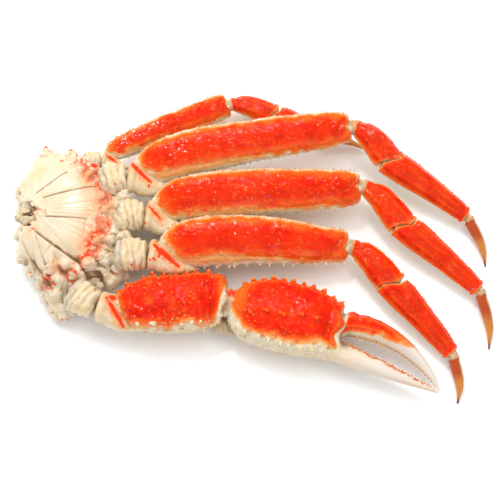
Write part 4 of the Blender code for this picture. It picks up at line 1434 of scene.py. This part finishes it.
def body_section():
    """The cream body with its fan of plates, pit, knobbly band and ragged edges."""
    body = Body()
    radius, direction = body.radius, body.direction
    above, wall = body.above, body.wall
    turn = np.radians(direction)
    place = np.column_stack((radius * np.cos(turn), radius * np.sin(turn)))
    line, raised = groove_lines(place)
    line *= step(radius, 5, 7.5)
    plates = plateau(radius, 6, 12, 32, 38) * above
    from_pit = away_from(place, *PIT)
    pit_edge = (PIT_RADIUS - 0.8) * (1 + 0.5 * body.lumps(4.5) + 0.3 * body.lumps(2, 31))
    pit = fall(from_pit, pit_edge - 1.6, pit_edge + 1.0) * above
    rays = lumps(np.column_stack((direction / 4.2, radius / 40, radius * 0)), 1.0, 3)
    rays += 0.6 * lumps(np.column_stack((direction / 1.9, radius / 25, radius * 0)), 1.0, 4)
    body.push(
        above * raised
        - size("groove") * line * above
        + 0.26 * rays * plates
        + 0.45 * body.lumps(9, 2) * above
        + 0.8 * bell(from_pit, 8.2, 1.8) * above * (0.5 + body.lumps(3, 30))
        - pit * (4.6 - 2.6 * body.lumps(2.6, 3))
    )
    knobs = most(*(
        height * np.exp(-((away_from(place, x, y) / wide) ** 3))
        for x, y, wide, height in [*BAND_KNOBS, *knob_ring()]
    ))
    body.push(size("knob") * knobs * most(above, 0.5 * wall))
    edge = most(
        wall,
        step(radius, BAND_RADIUS, BAND_RADIUS + 6) * above,
        step(-np.cos(turn), 0.1, 0.8) * step(radius, 8, 12) * above,
        step(-direction, 60, 75) * step(radius, 26, 32) * above,
    )
    body.push(edge * body.rough((1.3, 5, 4), (0.9, 2.6, 5), (0.4, 1.3, 6)))
    tears = np.abs(body.lumps(6.5, 15) + 0.35 * body.lumps(2.4, 16))
    wrinkles = np.abs(body.lumps(3.6, 20) + 0.3 * body.lumps(1.6, 21))
    body.push(-(0.8 * bell(tears, 0, 0.1) + 0.45 * bell(wrinkles, 0, 0.12)) * edge * (1 - 0.8 * wall))
    gap = patch(place, 33, -36, 2.4, 4) * above
    hole = patch(place, -5.5, -25, 2.2, 2.6)
    body.push(-4 * gap - 2.4 * hole)
    body.relax(4, 0.85 * np.clip(wall, 0, 1))

    # Painted shade in the grooves, the hollows, the pit, the gap and the hole.
    hollow = body.hollow(26)
    body.mask("dark", most(0.8 * line * above, step(hollow, 0.05, 0.8) * most(above, wall)))
    body.mask("dark", pit * (0.55 + 0.45 * step(hollow, -0.1, 0.4)))
    body.mask("dark", 0.9 * gap + 0.7 * hole)
    blush = plateau(direction, -52, -36, 28, 46)
    blush *= step(radius + 4 * body.lumps(7, 8), 19, 33) * fall(radius, 38, 43)
    blush *= 1.0 + 0.6 * body.lumps(5, 22)
    for x, y, wide, tall, amount in BLUSHES:
        blush += amount * patch(place, x, y, wide, tall) * (0.75 + 0.9 * body.lumps(3.4, 9))
    body.mask("pale", blush * above)
    band = plateau(direction, -95, -75, 58, 74) * above
    body.mask("ivory", bell(radius, BAND_RADIUS, 6.5) * band)
    between_knobs = step(hollow + 0.2 * body.lumps(3, 23), -0.1, 0.25) * bell(radius, BAND_RADIUS, 5)
    body.mask("red", 1.15 * between_knobs * step(body.lumps(9, 24), -0.45, 0.1) * band)
    marks = step(body.lumps(3.4, 10) + 0.7 * body.lumps(1.2, 11), 0.25, 0.75)
    body.mask("red", 1.1 * marks * bell(radius, BAND_RADIUS + 0.5, 4.5) * band)
    streaks = step(body.lumps(2.4, 25) + 0.7 * body.lumps(1.0, 26), 0.45, 0.9)
    body.mask("red", streaks * patch(place, 12, -30, 7, 5) * above)
    across = place - RINGED_BALL
    around_ball = bell(np.hypot(*across.T), 3.9, 0.7)
    body.mask("red", around_ball * step(across[:, 1] - across[:, 0], -1, 2))
    body.mask("red", 0.9 * patch(place, 24.5, 12.7, 7, 0.8) * line)
    pit_marks = step(body.lumps(2.0, 17) + 0.5 * body.lumps(0.9, 18), 0.25, 0.6)
    pit_marks *= bell(from_pit, 8.5, 2.6)
    body.mask("red", 0.75 * pit_marks * step(direction, -120, -90) * fall(direction, 10, 30))
    for x, y, wide in RED_SPOTS:
        away = away_from(place, x, y) / wide
        blot = bell(away + 0.7 * body.lumps(1.6, 27) + 0.3 * body.lumps(0.8, 28), 0, 1) * above
        body.mask("red", 1.6 * blot)
        body.mask("dark", 0.55 * blot)
    rim_marks = step(body.lumps(1.8, 12), 0.5, 0.8) * bell(wall, 0.5, 0.4) * step(direction, 60, 80)
    body.mask("red", 0.8 * rim_marks * fall(direction, 125, 150))
    body.mask("tip", edge * step(body.lumps(6, 13), -0.2, 0.5))
    lobes = [body_lobe(number, *rows) for number, rows in enumerate(BODY_LOBES)]
    finish_piece("body", "shell", "body_cream", [body, *lobes])


# ---------------------------------------------------------------- material parts

COAT_ROUGHNESS = 0.07
FLECK_BEND = 0.0015  # how far noise pushes the flecks out of round, as a share of its own colour


def once(make):
    """Makes the material or group that a function is named for once, and finds it after that."""

    def found():
        for kept in (bpy.data.materials, bpy.data.node_groups):
            if make.__name__ in kept:
                return kept[make.__name__]
        return make()

    return found


def feed(tree, socket, value):
    """Links a socket to another, or sets its value."""
    if isinstance(value, bpy.types.NodeSocket):
        tree.links.new(value, socket)
    elif socket.type == "RGBA":
        socket.default_value = (*value[:3], 1)
    else:
        socket.default_value = value


def add(tree, kind, inputs, **settings):
    """A new node with these settings, and its inputs fed by name or number."""
    made = tree.nodes.new(f"ShaderNode{kind}")
    for name, value in settings.items():
        setattr(made, name, value)
    for name, value in inputs.items():
        feed(tree, made.inputs[name], value)
    return made


def mix(tree, factor, first, second):
    """One colour over another."""
    return add(tree, "Mix", {0: factor, 6: first, 7: second}, data_type="RGBA").outputs[2]


def calculate(tree, operation, *values):
    inputs = dict(enumerate(values))
    return add(tree, "Math", inputs, operation=operation, use_clamp=operation == "ADD").outputs[0]


def times(tree, *values):
    return calculate(tree, "MULTIPLY", *values)


def eased(tree, value, low, high):
    """0 below low, 1 above high."""
    inputs = {"Value": value, "From Min": low, "From Max": high}
    return add(tree, "MapRange", inputs, interpolation_type="SMOOTHSTEP").outputs[0]


def stored(tree, mask):
    """A mask that is stored on the vertices."""
    return add(tree, "Attribute", {}, attribute_name=mask).outputs["Fac"]


def noise(tree, scale, detail=3.0, distortion=0.0, output="Fac"):
    """Noise in the object's own metres; scale counts features for each metre."""
    place = add(tree, "TexCoord", {}).outputs["Object"]
    inputs = {"Vector": place, "Scale": scale, "Detail": detail, "Distortion": distortion}
    return add(tree, "TexNoise", inputs).outputs[output]


def broken(tree, mask, scale, amount):
    """A stored mask whose edge is broken up by noise."""
    rough = calculate(tree, "SUBTRACT", noise(tree, scale, 4.0), 0.5)
    return calculate(tree, "MULTIPLY_ADD", rough, amount, stored(tree, mask))


def new_group(name, inputs, output):
    """An empty shader group with these inputs and one output: its tree, inputs and output."""
    group = bpy.data.node_groups.new(name, "ShaderNodeTree")
    for side, sockets in (("INPUT", inputs), ("OUTPUT", output)):
        for socket, kind in sockets.items():
            group.interface.new_socket(name=socket, in_out=side, socket_type=f"NodeSocket{kind}")
    given = group.nodes.new("NodeGroupInput")
    return group, given.outputs, group.nodes.new("NodeGroupOutput").inputs[0]


@once
def crab_mottle():
    """Patches of one colour in another."""
    group, given, out = new_group(
        "crab_mottle",
        {"Main": "Color", "Patch": "Color", "Scale": "Float", "Cover": "Float"},
        {"Colour": "Color"},
    )
    start = calculate(group, "SUBTRACT", 0.72, given["Cover"])
    end = calculate(group, "ADD", start, 0.22)
    cover = eased(group, noise(group, given["Scale"], 4.0, 0.4), start, end)
    feed(group, out, mix(group, cover, given["Main"], given["Patch"]))
    return group


@once
def crab_fleck():
    """Small uneven flecks, denser where Amount is higher."""
    group, given, out = new_group(
        "crab_fleck", {"Scale": "Float", "Amount": "Float"}, {"Mask": "Float"}
    )
    place = add(group, "TexCoord", {}).outputs["Object"]
    bend = noise(group, given["Scale"], 2.0, output="Color")
    inputs = {"Factor": FLECK_BEND, 4: place, 5: bend}
    bent = add(group, "Mix", inputs, data_type="VECTOR").outputs[1]
    cells = add(group, "TexVoronoi", {"Vector": bent, "Scale": given["Scale"]}).outputs
    chance = add(group, "SeparateColor", {0: cells["Color"]}).outputs[0]
    radius = times(group, calculate(group, "SUBTRACT", given["Amount"], chance), 0.75)
    room = calculate(group, "SUBTRACT", radius, cells["Distance"])
    feed(group, out, eased(group, room, 0.0, 0.12))
    return group


@once
def crab_grain():
    """Fine unevenness for the Bump node, as a height."""
    group, given, out = new_group(
        "crab_grain", {"Scale": "Float", "Coarse": "Float"}, {"Height": "Float"}
    )
    fine = times(group, noise(group, given["Scale"]), 0.4)
    wide = noise(group, times(group, given["Scale"], 0.22), 2.0)
    feed(group, out, calculate(group, "ADD", fine, times(group, wide, given["Coarse"])))
    return group


def placed(tree, group, **values):
    """What a group puts out, placed in a material with its own values."""
    return add(tree, "Group", values, node_tree=group).outputs[0]


def mottled(tree, main, patch, scale, cover):
    """One colour with patches of another."""
    return placed(tree, crab_mottle(), Main=main, Patch=patch, Scale=scale, Cover=cover)


def flecks(tree, scale, amount):
    """Where small flecks are."""
    return placed(tree, crab_fleck(), Scale=scale, Amount=amount)


def over(tree, base, colour, mask, ease=None, most=None):
    """A colour over the base where a mask is, the mask eased between two values and thinned."""
    if ease:
        mask = eased(tree, mask, *ease)
    if most:
        mask = times(tree, mask, most)
    return mix(tree, mask, base, colour)


def creased(tree, base):
    """Painted shade where the dark mask is: warm shade on the sides of folds and brown in their
    bottoms.
    """
    dark = broken(tree, "dark", 700, 0.3)
    base = over(tree, base, colours().shade, dark, (0.0, 0.6), 0.75)
    return over(tree, base, colours().crevice, dark, (0.4, 1.1), 0.85)


def surface(name, roughness, coat, specular=0.4):
    """A new material with its constant values set on the shader itself."""
    made = bpy.data.materials.new(name)
    made.use_nodes = True
    shader = made.node_tree.nodes["Principled BSDF"]
    shader.inputs["Roughness"].default_value = roughness
    shader.inputs["Coat Weight"].default_value = coat
    shader.inputs["Coat Roughness"].default_value = COAT_ROUGHNESS
    shader.inputs["Specular IOR Level"].default_value = specular
    return made, made.node_tree, shader.inputs


def finished(made, base, scale, coarse, strength, depth):
    """Puts the colour and a fine grain, depth mm deep, on a material's shader."""
    tree = made.node_tree
    shader = tree.nodes["Principled BSDF"].inputs
    feed(tree, shader["Base Color"], base)
    grain = placed(tree, crab_grain(), Scale=scale, Coarse=coarse)
    inputs = {"Strength": strength, "Distance": depth * MM, "Height": grain}
    feed(tree, shader["Normal"], add(tree, "Bump", inputs).outputs["Normal"])
    return made


@once
def cooked_shell():
    """Glossy red shell that fades through orange and peach to cream, with ivory fingers, patches of
    painted sheen, and painted shade where the dark mask is.
    """
    own = colours()
    made, tree, shader = surface("cooked_shell", 0.33, 0.5, 0.08)
    pale = broken(tree, "pale", 380, 0.6)
    reds = mottled(tree, own.bright_red, own.deep_red, 110, 0.3)
    reds = mottled(tree, reds, own.deep_red, 480, 0.22)
    reds = over(tree, reds, own.orange, pale, (0.15, 1.1))
    # Painted sheen: random pinkish patches on the red, for the lights' soft reflection.
    reds = mottled(tree, reds, own.frost, 300, 0.16)
    creams = mottled(tree, own.cream, own.warm_cream, 150, 0.3)
    base = over(tree, creams, own.ivory, stored(tree, "ivory"))
    base = over(tree, base, own.tan, pale, (0.1, 0.8), 0.95)
    red = broken(tree, "red", 420, 0.3)
    base = over(tree, base, own.peach, red, (0.1, 0.42))
    base = over(tree, base, own.orange, red, (0.3, 0.65))
    specks = flecks(tree, 900, times(tree, stored(tree, "red"), 1.1))
    cover = calculate(tree, "MAXIMUM", eased(tree, red, 0.5, 0.95), times(tree, specks, 0.8))
    base = mix(tree, cover, base, reds)
    base = over(tree, base, mix(tree, cover, own.warm_cream, own.amber), stored(tree, "tip"), most=0.75)
    # Painted shade where the dark mask is: brown on the pale shell, horn red on the red. On the teeth
    # and on the finger's stain it is their real brown.
    base = over(tree, base, mix(tree, cover, own.crevice, own.horn_red), stored(tree, "dark"))
    rough = times(tree, eased(tree, noise(tree, 500), 0.2, 0.9), 0.25)
    feed(tree, shader["Roughness"], calculate(tree, "ADD", rough, 0.25))
    return finished(made, base, 1500, 1.3, 0.45, 0.6)


@once
def joint_shell():
    """Wet cream skin and shell round the leg roots, with red flecks and painted shade in the creases.
    """
    own = colours()
    made, tree, _ = surface("joint_shell", 0.3, 0.4)
    base = mottled(tree, own.cream, own.warm_cream, 170, 0.42)
    base = over(tree, base, own.blush, broken(tree, "pale", 400, 0.7), (0.2, 1.0), 0.65)
    red = broken(tree, "red", 800, 0.8)
    base = over(tree, base, own.orange, red, (0.1, 0.6), 0.75)
    base = over(tree, base, own.bright_red, red, (0.35, 0.8), 0.95)
    base = over(tree, base, own.blush, flecks(tree, 800, 0.12), most=0.5)
    base = over(tree, base, own.wet_grey, stored(tree, "tip"), most=0.7)
    return finished(made, creased(tree, base), 1300, 1.0, 0.4, 0.3)


@once
def body_plates():
    """Pale plates with an airbrushed orange blush, fine veins, speckles, and painted shade in the
    grooves and hollows.
    """
    own = colours()
    made, tree, _ = surface("body_plates", 0.34, 0.3)
    base = mottled(tree, own.cream, own.warm_cream, 110, 0.22)
    base = over(tree, base, own.warm_cream, stored(tree, "tip"), most=0.3)
    base = over(tree, base, own.blush, broken(tree, "pale", 300, 0.5), (0.0, 1.3), 0.6)
    veins = calculate(tree, "ABSOLUTE", calculate(tree, "SUBTRACT", noise(tree, 260, 3.0, 1.2), 0.5))
    veins = calculate(tree, "SUBTRACT", 1.0, eased(tree, veins, 0.0, 0.05))
    band = stored(tree, "ivory")
    fading = times(tree, band, eased(tree, noise(tree, 210), 0.4, 0.65))
    veins = times(tree, veins, eased(tree, fading, 0.2, 0.9))
    base = over(tree, base, own.bright_red, veins, most=0.9)
    amount = calculate(tree, "ADD", times(tree, band, 0.3), times(tree, stored(tree, "pale"), 0.5))
    base = over(tree, base, own.bright_red, flecks(tree, 1500, amount), most=0.8)
    base = over(tree, base, own.blush, flecks(tree, 700, 0.14), most=0.45)
    red = broken(tree, "red", 700, 0.9)
    base = over(tree, base, own.orange, red, (0.1, 0.6), 0.75)
    base = over(tree, base, own.bright_red, red, (0.35, 0.85), 0.95)
    return finished(made, creased(tree, base), 900, 1.0, 0.35, 0.3)


@once
def soft_skin():
    """Greyish wet skin in the open joints, with pale knobs, a little red, and painted shade in its
    folds and at its ends.
    """
    own = colours()
    made, tree, _ = surface("soft_skin", 0.3, 0.5)
    base = mottled(tree, own.skin, own.warm_cream, 330, 0.25)
    red = broken(tree, "red", 900, 0.5)
    base = over(tree, base, own.blush, red, (0.3, 0.7), 0.5)
    base = over(tree, base, own.bright_red, red, (0.75, 1.0))
    base = over(tree, base, own.cream, stored(tree, "tip"), (0.2, 0.8))
    # Painted shade: tan at the ends, where the skin goes into the shells.
    base = over(tree, base, own.tan, stored(tree, "pale"))
    return finished(made, creased(tree, base), 1500, 1.0, 0.4, 0.25)


@once
def leg_horn():
    """Horn that runs from red-brown through amber to a dark point."""
    own = colours()
    made, tree, _ = surface("leg_horn", 0.3, 0.3)
    base = mottled(tree, own.horn_amber, own.horn_red, 300, 0.2)
    base = over(tree, base, own.horn_red, broken(tree, "red", 500, 0.4))
    base = over(tree, base, own.warm_cream, stored(tree, "pale"), (0.1, 1.0), 0.8)
    base = over(tree, base, own.horn_dark, stored(tree, "dark"), (0.0, 1.0))
    return finished(made, base, 1600, 0.6, 0.3, 0.2)


LOOKS = {
    "shell_red": cooked_shell,
    "finger_white": cooked_shell,
    "joint_cream": joint_shell,
    "body_cream": body_plates,
    "membrane": soft_skin,
    "tip_brown": leg_horn,
}


# ---------------------------------------------------------------- studio

CAMERA_AIM = Vector((0, 0, 12))  # in the limbs' own plan
CAMERA_ELEVATION = 70
CAMERA_DISTANCE = 613.9
CAMERA_LENS = 85
CAMERA_SENSOR = 36
FLOOR_HALF = 2.5  # metres
FLOOR_ROUGHNESS = 0.7
FLOOR_SPECULAR = 0.2
AIR_STRENGTH = 0.78
# Each light's place and width in metres, its watts, and whether the wet shell mirrors it.
LIGHTS = (
    ("key_light", (-0.4, 0.65, 0.75), 0.7, 6.4, False),
    ("top_light", (0.25, 0.1, 1.0), 0.5, 2.0, False),
    ("front_light", (0.3, -0.75, 0.7), 0.5, 1.0, True),
    ("glint_light", (-0.16, 0.5, 0.9), 0.12, 2.2, True),
    ("second_glint", (0.1, 0.3, 1.0), 0.08, 0.6, True),
)


def studio_floor():
    """The plain pale floor."""
    bm = bmesh.new()
    bmesh.ops.create_grid(bm, x_segments=2, y_segments=2, size=FLOOR_HALF)
    mesh = meshed("studio_floor", bm)
    made = bpy.data.materials.new("studio_floor")
    made.use_nodes = True
    tree = made.node_tree
    shader = tree.nodes["Principled BSDF"].inputs
    shader["Roughness"].default_value = FLOOR_ROUGHNESS
    shader["Specular IOR Level"].default_value = FLOOR_SPECULAR
    main = colours().floor
    patch = [value * 0.99 for value in main]
    feed(tree, shader["Base Color"], mottled(tree, main, patch, 4, 0.3))
    mesh.materials.append(made)
    linked("studio_floor", mesh)


def soft_light(name, place, width, watts, glints):
    """A square area light aimed at the middle, in metres; without glints it only lights, and
    isn't mirrored in the wet shell."""
    light = bpy.data.lights.new(name, "AREA")
    light.size = width
    light.energy = watts
    obj = linked(name, light)
    obj.location = place
    obj.rotation_euler = (-Vector(place)).to_track_quat("-Z", "Y").to_euler()
    obj.visible_glossy = glints


def studio_lights():
    """Even white air and the soft lights."""
    scene = bpy.context.scene
    scene.view_settings.view_transform = "Standard"
    scene.view_settings.look = "None"
    world = bpy.data.worlds.new("studio_air")
    world.use_nodes = True
    air = world.node_tree.nodes["Background"].inputs
    air["Color"].default_value = (1, 1, 1, 1)
    air["Strength"].default_value = AIR_STRENGTH
    world.cycles_visibility.glossy = False
    scene.world = world
    for light in LIGHTS:
        soft_light(*light)


def studio_camera():
    """A camera that looks down steeply at the middle of the limbs."""
    tilt = math.radians(CAMERA_ELEVATION)
    aim = (CAMERA_AIM + Vector(PLAN_SHIFT)) * MM
    back = Vector((0, -math.cos(tilt), math.sin(tilt))) * CAMERA_DISTANCE * MM
    lens = bpy.data.cameras.new("studio_camera")
    lens.lens = CAMERA_LENS
    lens.sensor_width = CAMERA_SENSOR
    camera = linked("studio_camera", lens)
    camera.location = aim + back
    camera.rotation_euler = (math.pi / 2 - tilt, 0, 0)
    bpy.context.scene.camera = camera


# ---------------------------------------------------------------- add-on

class CRAB_OT_body(bpy.types.Operator):
    """Make the body section"""

    bl_idname = "crab.body"
    bl_label = "Body section"

    def execute(self, context):
        body_section()
        return {"FINISHED"}


class CRAB_OT_leg_roots(bpy.types.Operator):
    """Make the wrinkled sleeves and the cups at the roots of the limbs"""

    bl_idname = "crab.leg_roots"
    bl_label = "Leg roots"

    def execute(self, context):
        for number, limb in enumerate(LIMBS):
            limb_coxa(limb, number)
            limb_ischium(limb, number)
        return {"FINISHED"}


class CRAB_OT_meri(bpy.types.Operator):
    """Make the long red shells of the walking legs"""

    bl_idname = "crab.meri"
    bl_label = "Leg meri"

    def execute(self, context):
        for number, leg in enumerate(LEGS):
            leg_merus(leg, number + 1)
        return {"FINISHED"}


class CRAB_OT_outer_legs(bpy.types.Operator):
    """Make the carpus, propodus and horn tip of each walking leg"""

    bl_idname = "crab.outer_legs"
    bl_label = "Outer legs"

    def execute(self, context):
        for number, leg in enumerate(LEGS):
            leg_carpus(leg, number)
            leg_propodus(leg, number)
            leg_dactyl(leg, number)
        return {"FINISHED"}


class CRAB_OT_necks(bpy.types.Operator):
    """Make the soft skin in the open joints"""

    bl_idname = "crab.necks"
    bl_label = "Joint skins"

    def execute(self, context):
        for number, leg in enumerate(LEGS):
            leg_necks(leg, number)
        claw_necks()
        return {"FINISHED"}


class CRAB_OT_claw_arm(bpy.types.Operator):
    """Make the claw's knobbly arm"""

    bl_idname = "crab.claw_arm"
    bl_label = "Claw arm"

    def execute(self, context):
        claw_merus()
        return {"FINISHED"}


class CRAB_OT_claw_hand(bpy.types.Operator):
    """Make the claw's palm and its two fingers"""

    bl_idname = "crab.claw_hand"
    bl_label = "Claw hand"

    def execute(self, context):
        claw_palm()
        claw_finger()
        return {"FINISHED"}


class CRAB_OT_studio(bpy.types.Operator):
    """Make the floor, the lights and the camera"""

    bl_idname = "crab.studio"
    bl_label = "Studio"

    def execute(self, context):
        studio_floor()
        studio_lights()
        studio_camera()
        return {"FINISHED"}


OPERATORS = (
    CRAB_OT_body, CRAB_OT_leg_roots, CRAB_OT_meri, CRAB_OT_outer_legs, CRAB_OT_necks,
    CRAB_OT_claw_arm, CRAB_OT_claw_hand, CRAB_OT_studio,
)


class CRAB_PT_panel(bpy.types.Panel):
    """Lists the pieces, sizes and colours"""

    bl_idname = "CRAB_PT_panel"
    bl_label = "Snow crab"
    bl_space_type = "VIEW_3D"
    bl_region_type = "UI"
    bl_category = "Snow crab"

    def draw(self, context):
        for operator in OPERATORS:
            self.layout.operator(operator.bl_idname)
        for group in (context.scene.crab_sizes, context.scene.crab_colours):
            for name in group.__annotations__:
                self.layout.prop(group, name)


CLASSES = (CrabColours, CrabSizes, *OPERATORS, CRAB_PT_panel)


def register():
    for made in CLASSES:
        bpy.utils.register_class(made)
    bpy.types.Scene.crab_colours = PointerProperty(type=CrabColours)
    bpy.types.Scene.crab_sizes = PointerProperty(type=CrabSizes)


def unregister():
    del bpy.types.Scene.crab_sizes
    del bpy.types.Scene.crab_colours
    for made in reversed(CLASSES):
        bpy.utils.unregister_class(made)


def main():
    register()
    bpy.ops.crab.body()
    bpy.ops.crab.leg_roots()
    bpy.ops.crab.meri()
    bpy.ops.crab.outer_legs()
    bpy.ops.crab.necks()
    bpy.ops.crab.claw_arm()
    bpy.ops.crab.claw_hand()
    bpy.ops.crab.studio()
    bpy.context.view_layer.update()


if __name__ == "__main__":
    main()
